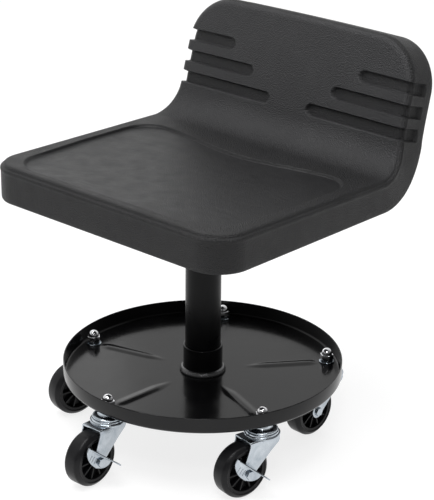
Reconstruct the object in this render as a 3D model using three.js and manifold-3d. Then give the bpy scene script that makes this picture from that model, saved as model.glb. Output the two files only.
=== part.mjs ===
// Adjustable swivel work stool: a moulded seat on a gas-lift column, a round tool tray and five casters.
// Millimetres, +Z up. The origin is on the column's axis at floor level and the seat faces -Y.
import * as THREE from 'three';
import { ConvexGeometry } from 'three/addons/geometries/ConvexGeometry.js';
import { mergeVertices } from 'three/addons/utils/BufferGeometryUtils.js';
import Module from 'manifold-3d';

const wasm = await Module();
wasm.setup();

// ---- driving dimensions ----------------------------------------------------------------------------------
const GAP = 0.3;                       // clearance between pieces that touch or turn on each other
const JOIN = 0.4;                      // how far joined shapes reach into each other
const REACH = 400;                     // length of a cutting prism that passes right through

const TRAY_FLOOR_Z = 98.6;             // upper face of the tray's floor
const TRAY_SHEET = 1.8;
const TRAY_R = 196.3;
const TRAY_RIM_H = 21.2;               // rim above the floor's upper face
const TRAY_CORNER_R = 5;
const TRAY_CENTRE_HOLE_R = 8;
const TRAY_SEGMENTS = 64;
const ROUND = 16;                      // segments round a turned piece, and round a small one
const SMALL_ROUND = 12;
const WHEEL_ROUND = 20;
const RIB_INNER_R = 62;
const RIB_OUTER_R = 165;
const RIB_W = 16;
const RIB_H = 3;

const CASTER_R = 178.7;                // circle that the caster stems stand on
const CASTERS = [                      // place round the tray and the way each axle points, in degrees
  { name: 'back', at: 123.3, axle: -5.2, brake: false },
  { name: 'left', at: 195.3, axle: -11.2, brake: false },
  { name: 'front_left', at: 267.3, axle: 0.8, brake: true },
  { name: 'front_right', at: 339.3, axle: -11.2, brake: true },
  { name: 'right', at: 51.3, axle: -2.2, brake: false },
];
const WHEEL_R = 38.1;
const WHEEL_HALF_W = 13.8;
const WHEEL_RIM_R = 31;                // the side face's flat ring ends here
const WHEEL_RECESS_R = 26;
const WHEEL_WEB = 5;                   // half thickness of the web
const HUB_R = 9;
const HUB_HALF_W = 14.6;
const WHEEL_RIBS = 10;
const TRAIL = 35.5;
const AXLE_R = 4;
const AXLE_HEAD_R = 6.6;
const AXLE_HEAD_T = 4;
const LEG_INNER = 15.3;                // half the gap between the fork's legs
const LEG_T = 2.2;
const LEG_END_R = 10;
const FORK_PLATE_Z = 79.5;
const FORK_PLATE_T = 2.5;
const FORK_PLATE_FRONT = 32;
const FORK_PLATE_REAR = -17;
const RACE_R = 25;
const RACE_TOP_Z = 87.3;
const CUP_R = 21.5;
const COLLAR_R = 13;
const STEM_R = 5;
const STEM_HEAD_R = 9;
const NUT_FLATS = 17;
const NUT_H = 8;
const DOME_R = 7.8;
const WASHER_R = 11;
const WASHER_T = 1.6;
const SPRING_WASHER_R = 9;
const SPRING_WASHER_T = 2.4;

const BRAKE_T = 2;
const BRAKE_TILT = 40;                 // degrees that the pedal slopes down towards the swivel
const BRAKE_CHORD = [-20, 33];         // ends of the plate's straight edge, measured from the axle
const BRAKE_CHORD_UP = 7.4;            // the straight edge lies this far above the axle
const BRAKE_DEPTH = 17;
const PEDAL_REACH = 42;

const SLEEVE_R = 27.8;
const SLEEVE_TOP_Z = 138;
const WELD_R = 32.7;
const WELD_H = 7;
const TUBE_R = 25;
const TUBE_WALL = 1.6;
const TUBE_TOP_Z = 300;
const TUBE_END_T = 4;
const BUSH_H = 60;
const GAS_R = 14;
const GAS_WALL = 2;
const GAS_BOTTOM_Z = 134;
const GAS_TOP_Z = 345;
const ROD_R = 4;
const ROD_TOP_Z = 263;
const ROD_BOTTOM_Z = 89.5;
const PISTON_H = 12;
const BEARING_R = 15;
const BEARING_H = 7;
const BUMPER_R = 11;
const CLIP_R = 9;

const SEAT_BOTTOM_Z = 355.5;
const SEAT_T = 47;                     // at the bend; the seat is thicker in front and so is the backrest
const SEAT_TILT = 0.9;                 // degrees that the upper face rises towards the front
const SEAT_HALF_W = 216;
const SEAT_FRONT_Y = -202;
const SEAT_CORNER_R = 48;
const BEND_Y = 118;                    // where the seat's upper face starts to sweep up
const BEND_R = 50;
const BACK_LEAN = 16;                  // degrees from upright
const BACK_LENGTH = 140;               // straight stretch of the backrest's front face
const BACK_T = 54.5;
const BACK_HALF_W = 205;
const BACK_CORNER_R = 66;
const SEAT_EDGE_R = 6;
const PANEL_INSET = 24;
const PANEL_FRONT_INSET = 22;
const PANEL_REAR_Y = 84;
const PANEL_DEPTH = 3;
const PANEL_CORNER_R = 30;
const POCKET_WALL = 7;
const GROOVES = [                      // height along the backrest and length of each finger groove
  { up: 76, length: 87 },
  { up: 45, length: 129 },
  { up: 14, length: 166 },
];
const GROOVE_H = 15;
const GROOVE_DEPTH = 3.5;

const PLATE_W = 190;
const PLATE_L = 150;
const PLATE_T = 3;
const SOCKET_R = 19;
const SOCKET_BOTTOM_Z = 318;
const BOLT_AT = [75, 55];
const BOLT_R = 4;
const BOLT_HEAD_R = 7;
const LEVER_Z = 343;
const LEVER_PIVOT_X = 30;
const LEVER_R = 4;
const LEVER_END_X = 150;
const GRIP_R = 8;
const GRIP_L = 40;
const PIN_R = 4.5;

// ---- materials -------------------------------------------------------------------------------------------
const material = (color, roughness, metalness) => new THREE.MeshStandardMaterial({ color, roughness, metalness });
const SEAT_SKIN = material('#4a4a4c', 0.6, 0);
const BLACK_ENAMEL = material('#141416', 0.22, 0.3);
const BLACK_SATIN = material('#1a1a1c', 0.4, 0.3);
const CHROME = material('#d8d9dc', 0.12, 1);
const ZINC = material('#b9bec4', 0.3, 0.9);
const WHEEL_PLASTIC = material('#161618', 0.42, 0);
const RUBBER = material('#1c1c1c', 0.85, 0);
const NYLON = material('#3a3a3c', 0.5, 0);

// ---- shape helpers ---------------------------------------------------------------------------------------
const radians = THREE.MathUtils.degToRad;

function toSolid(geometry) {
  const bare = new THREE.BufferGeometry();
  bare.setAttribute('position', geometry.getAttribute('position').clone());
  if (geometry.index) {
    bare.setIndex(geometry.index.clone());
  }
  const welded = mergeVertices(bare, 1e-4);
  const mesh = new wasm.Mesh({
    numProp: 3,
    vertProperties: new Float32Array(welded.getAttribute('position').array),
    triVerts: new Uint32Array(welded.index.array),
  });
  return new wasm.Manifold(mesh);
}

function toGeometry(solid) {
  const mesh = solid.getMesh();
  const geometry = new THREE.BufferGeometry();
  geometry.setAttribute('position', new THREE.BufferAttribute(new Float32Array(mesh.vertProperties), 3));
  geometry.setIndex(new THREE.BufferAttribute(new Uint32Array(mesh.triVerts), 1));
  const flat = geometry.toNonIndexed();
  flat.computeVertexNormals();
  return flat;
}

// A turned solid about Z from [radius, z] points that run counter-clockwise round the section.
function turned(points, segments = ROUND) {
  const first = points[0];
  const last = points[points.length - 1];
  const closed = first[0] === 0 && last[0] === 0 ? points : [...points, first];
  const geometry = new THREE.LatheGeometry(closed.map(([r, z]) => new THREE.Vector2(r, z)), segments);
  geometry.rotateX(Math.PI / 2);
  return toSolid(geometry);
}

function ring(inner, outer, low, high, segments = SMALL_ROUND) {
  return turned([[inner, low], [outer, low], [outer, high], [inner, high]], segments);
}

function disc(radius, low, high, segments = SMALL_ROUND) {
  return turned([[0, low], [radius, low], [radius, high], [0, high]], segments);
}

function prism(shape, low, high, curveSegments = 12) {
  const geometry = new THREE.ExtrudeGeometry(shape, { depth: high - low, bevelEnabled: false, curveSegments });
  geometry.translate(0, 0, low);
  return toSolid(geometry);
}

function block(x0, x1, y0, y1, z0, z1) {
  const geometry = new THREE.BoxGeometry(x1 - x0, y1 - y0, z1 - z0);
  geometry.translate((x0 + x1) / 2, (y0 + y1) / 2, (z0 + z1) / 2);
  return toSolid(geometry);
}

function polygon(points) {
  return new THREE.Shape(points.map(([x, y]) => new THREE.Vector2(x, y)));
}

function roundedRect(x0, x1, y0, y1, frontR, rearR) {
  const shape = new THREE.Shape();
  shape.moveTo(x0 + frontR, y0);
  shape.lineTo(x1 - frontR, y0);
  shape.absarc(x1 - frontR, y0 + frontR, frontR, -Math.PI / 2, 0, false);
  shape.lineTo(x1, y1 - rearR);
  shape.absarc(x1 - rearR, y1 - rearR, rearR, 0, Math.PI / 2, false);
  shape.lineTo(x0 + rearR, y1);
  shape.absarc(x0 + rearR, y1 - rearR, rearR, Math.PI / 2, Math.PI, false);
  shape.lineTo(x0, y0 + frontR);
  shape.absarc(x0 + frontR, y0 + frontR, frontR, Math.PI, Math.PI * 1.5, false);
  return shape;
}

// A prism drawn in the X-Z plane and as long as low..high along Y.
function sidePrism(shape, low, high, curveSegments = 12) {
  return prism(shape, -high, -low, curveSegments).rotate([90, 0, 0]);
}

function named(name, solid, meshMaterial) {
  const mesh = new THREE.Mesh(toGeometry(solid), meshMaterial);
  mesh.name = name;
  return mesh;
}

function hexagon(flats) {
  const corner = flats / Math.sqrt(3);
  const points = [];
  for (let i = 0; i < 6; i += 1) {
    points.push([corner * Math.cos((i * Math.PI) / 3), corner * Math.sin((i * Math.PI) / 3)]);
  }
  return polygon(points);
}

// ---- tool tray and column --------------------------------------------------------------------------------
function trayRib(angle) {
  const taper = 26;
  const low = TRAY_FLOOR_Z - JOIN;
  const points = [];
  for (const z of [low, TRAY_FLOOR_Z]) {
    points.push([RIB_INNER_R, 0, z]);
    points.push([RIB_OUTER_R, 0, z]);
    for (const side of [-1, 1]) {
      points.push([RIB_INNER_R + taper, (side * RIB_W) / 2, z]);
      points.push([RIB_OUTER_R - taper / 2, (side * RIB_W) / 2, z]);
    }
  }
  points.push([RIB_INNER_R + taper, 0, TRAY_FLOOR_Z + RIB_H]);
  points.push([RIB_OUTER_R - taper / 2, 0, TRAY_FLOOR_Z + RIB_H]);
  const rib = new ConvexGeometry(points.map(([x, y, z]) => new THREE.Vector3(x, y, z)));
  rib.rotateZ(radians(angle));
  return toSolid(rib);
}

function trayShell() {
  const low = TRAY_FLOOR_Z - TRAY_SHEET;
  const top = TRAY_FLOOR_Z + TRAY_RIM_H;
  const corner = TRAY_CORNER_R;
  const section = [[TRAY_CENTRE_HOLE_R, low]];
  const steps = 3;
  for (let i = 0; i <= steps; i += 1) {
    const a = -Math.PI / 2 + (i * Math.PI) / 2 / steps;
    section.push([TRAY_R - corner + corner * Math.cos(a), low + corner + corner * Math.sin(a)]);
  }
  section.push([TRAY_R, top - 0.6], [TRAY_R - 0.6, top], [TRAY_R - TRAY_SHEET + 0.5, top]);
  section.push([TRAY_R - TRAY_SHEET, top - 0.5]);
  const inner = corner - TRAY_SHEET;
  for (let i = steps; i >= 0; i -= 1) {
    const a = -Math.PI / 2 + (i * Math.PI) / 2 / steps;
    section.push([TRAY_R - corner + inner * Math.cos(a), low + corner + inner * Math.sin(a)]);
  }
  section.push([TRAY_CENTRE_HOLE_R, TRAY_FLOOR_Z]);
  return turned(section, TRAY_SEGMENTS);
}

function tray() {
  let body = trayShell();
  for (const { at } of CASTERS) {
    body = body.add(trayRib(at));
    const hole = disc(STEM_R + GAP, TRAY_FLOOR_Z - 9, TRAY_FLOOR_Z + 9);
    const x = CASTER_R * Math.cos(radians(at));
    const y = CASTER_R * Math.sin(radians(at));
    body = body.subtract(hole.translate([x, y, 0]));
  }
  return named('tray', body, BLACK_ENAMEL);
}

function sleeve() {
  const inner = TUBE_R + GAP;
  const low = TRAY_FLOOR_Z + GAP;
  const section = [[inner, low], [SLEEVE_R, low], [SLEEVE_R, SLEEVE_TOP_Z - 0.8]];
  section.push([SLEEVE_R - 0.8, SLEEVE_TOP_Z], [inner, SLEEVE_TOP_Z]);
  return named('column_sleeve', turned(section, 32), BLACK_SATIN);
}

function weldBead() {
  const inner = SLEEVE_R + GAP;
  const low = TRAY_FLOOR_Z + GAP;
  const section = [[inner, low], [WELD_R, low], [WELD_R, low + 1.6], [WELD_R - 1.4, low + 3.8]];
  section.push([inner + 1.2, low + WELD_H - 1], [inner, low + WELD_H]);
  return named('sleeve_weld', turned(section, 32), BLACK_SATIN);
}

function columnTube() {
  const low = TRAY_FLOOR_Z + GAP;
  const inner = TUBE_R - TUBE_WALL;
  const bore = ROD_R + GAP;
  const section = [[bore, low], [TUBE_R - 1, low], [TUBE_R, low + 1], [TUBE_R, TUBE_TOP_Z - 1]];
  section.push([TUBE_R - 1, TUBE_TOP_Z], [inner, TUBE_TOP_Z], [inner, low + TUBE_END_T], [bore, low + TUBE_END_T]);
  return named('column_tube', turned(section, 32), BLACK_SATIN);
}

function guideBush() {
  const outer = TUBE_R - TUBE_WALL - GAP;
  const flangeLow = TUBE_TOP_Z + GAP;
  const section = [[GAS_R + GAP, TUBE_TOP_Z - BUSH_H], [outer, TUBE_TOP_Z - BUSH_H], [outer, flangeLow]];
  section.push([TUBE_R - 0.8, flangeLow], [TUBE_R - 2, flangeLow + 2.4], [GAS_R + GAP, flangeLow + 2.4]);
  return named('guide_bush', turned(section), NYLON);
}

const BEARING_LOW = TRAY_FLOOR_Z + GAP + TUBE_END_T + GAP;
const BUMPER_LOW = BEARING_LOW + BEARING_H + GAP;

function thrustBearing() {
  const mid = BEARING_LOW + BEARING_H / 2;
  const inner = ROD_R + GAP;
  const waist = BEARING_R - 1.5;
  const section = [[inner, BEARING_LOW], [BEARING_R, BEARING_LOW], [BEARING_R, mid - 1.5], [waist, mid - 1.5]];
  section.push([waist, mid + 1.5], [BEARING_R, mid + 1.5], [BEARING_R, BEARING_LOW + BEARING_H]);
  section.push([inner, BEARING_LOW + BEARING_H]);
  return named('thrust_bearing', turned(section), ZINC);
}

function bumper() {
  const high = GAS_BOTTOM_Z - GAP;
  const inner = ROD_R + GAP;
  const section = [[inner, BUMPER_LOW], [BUMPER_R - 1, BUMPER_LOW], [BUMPER_R, BUMPER_LOW + 1]];
  section.push([BUMPER_R, high - 1], [BUMPER_R - 1, high], [inner, high]);
  return named('rubber_bumper', turned(section), RUBBER);
}

const ROD_NECK_R = ROD_R - 1;
const CLIP_LOW = TRAY_FLOOR_Z - TRAY_SHEET - GAP - 2;

function pistonRod() {
  const neckLow = CLIP_LOW - GAP;
  const neckHigh = CLIP_LOW + 2 + GAP;
  const pistonLow = ROD_TOP_Z - PISTON_H;
  const section = [[0, ROD_BOTTOM_Z], [ROD_R - 0.8, ROD_BOTTOM_Z], [ROD_R, ROD_BOTTOM_Z + 0.8], [ROD_R, neckLow]];
  section.push([ROD_NECK_R, neckLow], [ROD_NECK_R, neckHigh], [ROD_R, neckHigh], [ROD_R, pistonLow]);
  section.push([ROD_NECK_R, pistonLow], [ROD_NECK_R, ROD_TOP_Z], [0, ROD_TOP_Z]);
  return named('piston_rod', turned(section, SMALL_ROUND), CHROME);
}

function piston() {
  const low = ROD_TOP_Z - PISTON_H + GAP;
  const outer = GAS_R - GAS_WALL - GAP;
  const groove = outer - 1.5;
  const inner = ROD_NECK_R + GAP;
  const section = [[inner, low], [outer, low], [outer, low + 4], [groove, low + 4], [groove, low + 7]];
  section.push([outer, low + 7], [outer, ROD_TOP_Z - GAP], [inner, ROD_TOP_Z - GAP]);
  return named('piston', turned(section), NYLON);
}

function rodClip() {
  const washer = ring(ROD_NECK_R + GAP, CLIP_R, CLIP_LOW, CLIP_LOW + 2);
  const mouth = block(0, CLIP_R + 2, -2.2, 2.2, CLIP_LOW - 2, CLIP_LOW + 4);
  return named('rod_clip', washer.subtract(mouth), ZINC);
}

function gasCylinder() {
  const inner = GAS_R - GAS_WALL;
  const bore = ROD_R + GAP;
  const pinBore = PIN_R + GAP;
  const section = [[bore, GAS_BOTTOM_Z], [GAS_R - 1, GAS_BOTTOM_Z], [GAS_R, GAS_BOTTOM_Z + 1]];
  section.push([GAS_R, SOCKET_BOTTOM_Z], [GAS_R - 1, GAS_TOP_Z], [pinBore, GAS_TOP_Z], [pinBore, GAS_TOP_Z - 16]);
  section.push([inner, GAS_TOP_Z - 16], [inner, GAS_BOTTOM_Z + 5], [bore, GAS_BOTTOM_Z + 5]);
  return named('gas_cylinder', turned(section), BLACK_SATIN);
}

function releasePin() {
  const low = GAS_TOP_Z - 14;
  const high = GAS_TOP_Z + 3.4;
  const section = [[0, low], [PIN_R, low], [PIN_R, high - 0.8], [PIN_R - 0.8, high], [0, high]];
  return named('release_pin', turned(section, SMALL_ROUND), ZINC);
}

// ---- casters ---------------------------------------------------------------------------------------------
function wheelSolid() {
  const edge = 4;
  const face = WHEEL_HALF_W;
  const upper = [[WHEEL_R, face - edge], [WHEEL_R - 1.2, face - 1.2], [WHEEL_R - edge, face]];
  upper.push([WHEEL_RIM_R, face], [WHEEL_RECESS_R, face - 1.2], [WHEEL_RECESS_R - 0.8, WHEEL_WEB]);
  upper.push([HUB_R, WHEEL_WEB], [HUB_R, HUB_HALF_W], [AXLE_R + GAP, HUB_HALF_W]);
  const lower = [...upper].reverse().map(([r, z]) => [r, -z]);
  let body = turned([...upper, ...lower], WHEEL_ROUND);
  for (let i = 0; i < WHEEL_RIBS; i += 1) {
    const high = face - 2;
    const rib = block(HUB_R - JOIN, WHEEL_RECESS_R, -1, 1, -high, high);
    body = body.add(rib.rotate([0, 0, (i * 360) / WHEEL_RIBS]));
  }
  return body.rotate([90, 0, 0]).translate([TRAIL, 0, WHEEL_R]);
}

function legOutline() {
  const shape = new THREE.Shape();
  const top = FORK_PLATE_Z + JOIN;
  shape.moveTo(FORK_PLATE_REAR, top);
  shape.lineTo(FORK_PLATE_REAR + 2, FORK_PLATE_Z - 8);
  shape.lineTo(-2, 62);
  shape.lineTo(11, 49);
  const start = radians(205);
  shape.lineTo(TRAIL + LEG_END_R * Math.cos(start), WHEEL_R + LEG_END_R * Math.sin(start));
  shape.absarc(TRAIL, WHEEL_R, LEG_END_R, start, radians(375), false);
  shape.lineTo(FORK_PLATE_FRONT, FORK_PLATE_Z - 6);
  shape.lineTo(FORK_PLATE_FRONT, top);
  shape.closePath();
  return shape;
}

function forkSolid() {
  const outer = LEG_INNER + LEG_T;
  const plateTop = FORK_PLATE_Z + FORK_PLATE_T;
  const outline = roundedRect(FORK_PLATE_REAR, FORK_PLATE_FRONT, -outer, outer, 2, 2);
  let body = prism(outline, FORK_PLATE_Z, plateTop, 4);
  body = body.add(sidePrism(legOutline(), LEG_INNER, outer, 7));
  body = body.add(sidePrism(legOutline(), -outer, -LEG_INNER, 7));
  const race = [[0, FORK_PLATE_Z], [RACE_R - 1.5, FORK_PLATE_Z], [RACE_R, plateTop], [RACE_R, plateTop + 2]];
  race.push([RACE_R - 2.5, plateTop + 3], [RACE_R - 3, RACE_TOP_Z], [0, RACE_TOP_Z]);
  body = body.add(turned(race));
  body = body.subtract(disc(STEM_R + GAP + 0.1, 0, REACH));
  const axleHole = disc(AXLE_R + GAP, -REACH, REACH).rotate([90, 0, 0]);
  return body.subtract(axleHole.translate([TRAIL, 0, WHEEL_R]));
}

function axleSolid(brakeSide) {
  const near = LEG_INNER + LEG_T + GAP;
  const far = brakeSide ? near + GAP + BRAKE_T + GAP : near;
  const section = [[0, -near - AXLE_HEAD_T], [AXLE_HEAD_R, -near - AXLE_HEAD_T], [AXLE_HEAD_R, -near]];
  section.push([AXLE_R, -near], [AXLE_R, far], [AXLE_HEAD_R, far], [AXLE_HEAD_R, far + AXLE_HEAD_T]);
  section.push([0, far + AXLE_HEAD_T]);
  const body = turned(section, SMALL_ROUND);
  return body.rotate([-90, 0, 0]).translate([TRAIL, 0, WHEEL_R]);
}

function stemSolid() {
  const headLow = FORK_PLATE_Z - 5;
  const cupLow = RACE_TOP_Z + GAP;
  const collarTop = TRAY_FLOOR_Z - TRAY_SHEET - GAP;
  const top = nutLow() + NUT_H + 0.4;
  const section = [[0, headLow], [STEM_HEAD_R - 1, headLow], [STEM_HEAD_R, headLow + 1]];
  section.push([STEM_HEAD_R, FORK_PLATE_Z - GAP], [STEM_R, FORK_PLATE_Z - GAP], [STEM_R, cupLow]);
  section.push([CUP_R, cupLow], [CUP_R, cupLow + 2], [CUP_R - 3, cupLow + 4.4], [COLLAR_R, cupLow + 4.8]);
  section.push([COLLAR_R, collarTop], [STEM_R, collarTop], [STEM_R, top - 1], [STEM_R - 1, top], [0, top]);
  return turned(section);
}

function washerLow() {
  return TRAY_FLOOR_Z + GAP;
}

function springWasherLow() {
  return washerLow() + WASHER_T + GAP;
}

function nutLow() {
  return springWasherLow() + SPRING_WASHER_T + GAP;
}

function springWasherSolid() {
  const low = springWasherLow();
  const washer = ring(STEM_R + GAP, SPRING_WASHER_R, low, low + SPRING_WASHER_T);
  const cut = block(0, SPRING_WASHER_R + 2, -0.6, 0.6, low - 2, low + SPRING_WASHER_T + 2);
  return washer.subtract(cut);
}

function acornNutSolid() {
  const low = nutLow();
  const domeTop = low + 16.2;
  const dome = [[0, low], [DOME_R, low]];
  const steps = 4;
  const base = low + NUT_H;
  for (let i = 0; i <= steps; i += 1) {
    const a = (i * Math.PI) / 2 / steps;
    const r = i === steps ? 0 : DOME_R * Math.cos(a);
    dome.push([r, base + (domeTop - base) * Math.sin(a)]);
  }
  let body = prism(hexagon(NUT_FLATS), low, base).add(turned(dome, SMALL_ROUND));
  const bore = disc(STEM_R + GAP, low - 2, base + 1.2);
  return body.subtract(bore);
}

function brakeOutline() {
  const [low, high] = BRAKE_CHORD;
  const mid = (low + high) / 2;
  const half = (high - low) / 2;
  const points = [];
  const steps = 12;
  for (let i = 0; i <= steps; i += 1) {
    const a = Math.PI + (i * Math.PI) / steps;
    points.push([mid + half * Math.cos(a), BRAKE_CHORD_UP + BRAKE_DEPTH * Math.sin(a)]);
  }
  points.push([high, BRAKE_CHORD_UP + BRAKE_T], [low, BRAKE_CHORD_UP + BRAKE_T]);
  return polygon(points);
}

function brakeSolid() {
  const near = LEG_INNER + LEG_T + GAP + GAP;
  const [low, high] = BRAKE_CHORD;
  let body = sidePrism(brakeOutline(), near, near + BRAKE_T);
  const pedal = polygon([[low, near], [high, near], [high - 9, near + 4], [high - 24, near + 12],
    [low + 18, PEDAL_REACH - 4], [low + 9, PEDAL_REACH], [low + 2, PEDAL_REACH - 1.5], [low, PEDAL_REACH - 5]]);
  body = body.add(prism(pedal, BRAKE_CHORD_UP, BRAKE_CHORD_UP + BRAKE_T));
  body = body.subtract(disc(AXLE_R + GAP, -REACH, REACH).rotate([90, 0, 0]));
  return body.rotate([0, -BRAKE_TILT, 0]).translate([TRAIL, 0, WHEEL_R]);
}

const CASTER_SOLIDS = {
  stem: [stemSolid(), ZINC],
  washer: [ring(STEM_R + GAP, WASHER_R, washerLow(), washerLow() + WASHER_T), ZINC],
  spring_washer: [springWasherSolid(), ZINC],
  acorn_nut: [acornNutSolid(), CHROME],
  fork: [forkSolid(), ZINC],
  wheel: [wheelSolid(), WHEEL_PLASTIC],
};

function caster({ name, at, axle, brake }) {
  const group = new THREE.Group();
  group.position.set(CASTER_R * Math.cos(radians(at)), CASTER_R * Math.sin(radians(at)), 0);
  group.rotation.z = radians(axle - 90);
  for (const [piece, [solid, pieceMaterial]] of Object.entries(CASTER_SOLIDS)) {
    group.add(named(`${name}_${piece}`, solid, pieceMaterial));
  }
  group.add(named(`${name}_axle`, axleSolid(brake), ZINC));
  if (brake) {
    group.add(named(`${name}_brake`, brakeSolid(), ZINC));
  }
  return group;
}

// ---- seat ------------------------------------------------------------------------------------------------
const SEAT_TOP_Z = SEAT_BOTTOM_Z + SEAT_T;
const LEAN = radians(BACK_LEAN);
const BEND = Math.PI / 2 - LEAN;
const TILT = radians(SEAT_TILT);
const BACK_START = [BEND_Y + BEND_R * Math.sin(BEND), SEAT_TOP_Z + BEND_R * (1 - Math.cos(BEND))];

// Point on the front face of the backrest, `up` along it from the end of the bend and `back` into it.
function backPoint(up, back) {
  const y = BACK_START[0] + up * Math.sin(LEAN) + back * Math.cos(LEAN);
  const z = BACK_START[1] + up * Math.cos(LEAN) - back * Math.sin(LEAN);
  return [y, z];
}

// Points round the bend, whose distance below its upper face goes from one thickness to the other.
function bendPoints(seatDepth, backDepth) {
  const points = [];
  const steps = 9;
  for (let i = 0; i <= steps; i += 1) {
    const a = (BEND * i) / steps;
    const r = BEND_R + seatDepth + ((backDepth - seatDepth) * i) / steps;
    points.push([BEND_Y + r * Math.sin(a), SEAT_TOP_Z + BEND_R - r * Math.cos(a)]);
  }
  return points;
}

function seatSide() {
  const edge = SEAT_EDGE_R;
  const points = [[SEAT_FRONT_Y + edge, SEAT_BOTTOM_Z]];
  points.push(...bendPoints(SEAT_T, BACK_T));
  points.push(backPoint(BACK_LENGTH - edge, BACK_T), backPoint(BACK_LENGTH - 2, BACK_T - 2));
  points.push(backPoint(BACK_LENGTH, BACK_T - edge), backPoint(BACK_LENGTH, edge));
  points.push(backPoint(BACK_LENGTH - 2, 2), backPoint(BACK_LENGTH - edge, 0));
  points.push(...bendPoints(0, 0).reverse());
  const frontTop = SEAT_TOP_Z + (BEND_Y - SEAT_FRONT_Y) * Math.tan(TILT);
  points.push([SEAT_FRONT_Y + edge, frontTop - edge * Math.tan(TILT)], [SEAT_FRONT_Y + 2, frontTop - 2]);
  points.push([SEAT_FRONT_Y, frontTop - edge], [SEAT_FRONT_Y, SEAT_BOTTOM_Z + edge]);
  points.push([SEAT_FRONT_Y + 2, SEAT_BOTTOM_Z + 2]);
  return polygon(points);
}

// The side section lies in the Y-Z plane and is swept along X, with its two ends bevelled.
function seatSweep() {
  const bevel = { bevelEnabled: true, bevelThickness: 5, bevelSize: 5, bevelOffset: -5, bevelSegments: 2 };
  const depth = 2 * SEAT_HALF_W - 10;
  const geometry = new THREE.ExtrudeGeometry(seatSide(), { depth, curveSegments: 6, ...bevel });
  geometry.translate(0, 0, -depth / 2);
  geometry.rotateY(Math.PI / 2);
  geometry.rotateX(Math.PI / 2);
  return toSolid(geometry);
}

function seatPlan() {
  const far = BACK_START[0] + REACH;
  return prism(roundedRect(-SEAT_HALF_W, SEAT_HALF_W, SEAT_FRONT_Y, far, SEAT_CORNER_R, 5), 0, 2 * REACH, 6);
}

function backOutline() {
  const shape = new THREE.Shape();
  const [, top] = backPoint(BACK_LENGTH, 0);
  const shoulder = BACK_START[1];
  shape.moveTo(-SEAT_HALF_W, 0);
  shape.lineTo(SEAT_HALF_W, 0);
  shape.lineTo(SEAT_HALF_W, SEAT_TOP_Z);
  shape.bezierCurveTo(SEAT_HALF_W, shoulder - 12, BACK_HALF_W, shoulder - 12, BACK_HALF_W, shoulder + 10);
  shape.lineTo(BACK_HALF_W - 2, top - BACK_CORNER_R);
  shape.absarc(BACK_HALF_W - 2 - BACK_CORNER_R, top - BACK_CORNER_R, BACK_CORNER_R, 0, Math.PI / 2, false);
  shape.absarc(2 + BACK_CORNER_R - BACK_HALF_W, top - BACK_CORNER_R, BACK_CORNER_R, Math.PI / 2, Math.PI, false);
  shape.lineTo(-BACK_HALF_W, shoulder + 10);
  shape.bezierCurveTo(-BACK_HALF_W, shoulder - 12, -SEAT_HALF_W, shoulder - 12, -SEAT_HALF_W, SEAT_TOP_Z);
  shape.closePath();
  return sidePrism(shape, -REACH, REACH, 8);
}

function seatPanelCut() {
  const half = SEAT_HALF_W - PANEL_INSET;
  const plan = roundedRect(-half, half, SEAT_FRONT_Y + PANEL_FRONT_INSET, PANEL_REAR_Y, PANEL_CORNER_R, PANEL_CORNER_R);
  const cut = prism(plan, SEAT_TOP_Z - PANEL_DEPTH, SEAT_TOP_Z + 20, 6);
  return cut.translate([0, -BEND_Y, -SEAT_TOP_Z]).rotate([-SEAT_TILT, 0, 0]).translate([0, BEND_Y, SEAT_TOP_Z]);
}

function underPockets() {
  const half = SEAT_HALF_W - POCKET_WALL - 5;
  const low = SEAT_BOTTOM_Z - 5;
  const high = SEAT_TOP_Z - PANEL_DEPTH - POCKET_WALL;
  const plan = roundedRect(-half, half, SEAT_FRONT_Y + POCKET_WALL + 5, BEND_Y - 8, 28, 8);
  let pockets = prism(plan, low, high, 5);
  pockets = pockets.subtract(block(-PLATE_W / 2 - 6, PLATE_W / 2 + 6, -PLATE_L / 2 - 6, PLATE_L / 2 + 6, 0, REACH * 2));
  for (const x of [-60, 60]) {
    pockets = pockets.subtract(block(x - 2.5, x + 2.5, -REACH, REACH, 0, REACH * 2));
  }
  for (const y of [-45, 45]) {
    pockets = pockets.subtract(block(-REACH, REACH, y - 2.5, y + 2.5, 0, REACH * 2));
  }
  return pockets;
}

// A finger groove that runs in from the backrest's side edge and ends in a half circle.
function grooveCut({ up, length }, side) {
  const r = GROOVE_H / 2;
  const start = BACK_HALF_W - length;
  const shape = new THREE.Shape();
  shape.moveTo(start + r, -r);
  shape.lineTo(SEAT_HALF_W + 10, -r);
  shape.lineTo(SEAT_HALF_W + 10, r);
  shape.lineTo(start + r, r);
  shape.absarc(start + r, 0, r, Math.PI / 2, Math.PI * 1.5, false);
  let cut = sidePrism(shape, -20, GROOVE_DEPTH, 6);
  const notchX = BACK_HALF_W - GROOVE_DEPTH;
  cut = cut.add(block(notchX, SEAT_HALF_W + 10, -20, BACK_T * 0.66, -r, r));
  if (side < 0) {
    cut = cut.mirror([1, 0, 0]);
  }
  const [y, z] = backPoint(up, 0);
  return cut.rotate([-BACK_LEAN, 0, 0]).translate([0, y, z]);
}

function boltPlaces() {
  const [x, y] = BOLT_AT;
  return [[-x, -y], [x, -y], [-x, y], [x, y]];
}

function seatShell() {
  let body = seatSweep().intersect(seatPlan()).intersect(backOutline());
  body = body.subtract(seatPanelCut()).subtract(underPockets());
  for (const groove of GROOVES) {
    for (const side of [-1, 1]) {
      body = body.subtract(grooveCut(groove, side));
    }
  }
  for (const [x, y] of boltPlaces()) {
    body = body.subtract(disc(BOLT_R + GAP, 0, SEAT_BOTTOM_Z + 22).translate([x, y, 0]));
  }
  return named('seat_shell', body, SEAT_SKIN);
}

const PLATE_TOP_Z = SEAT_BOTTOM_Z - GAP;
const PLATE_LOW_Z = PLATE_TOP_Z - PLATE_T;

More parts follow.
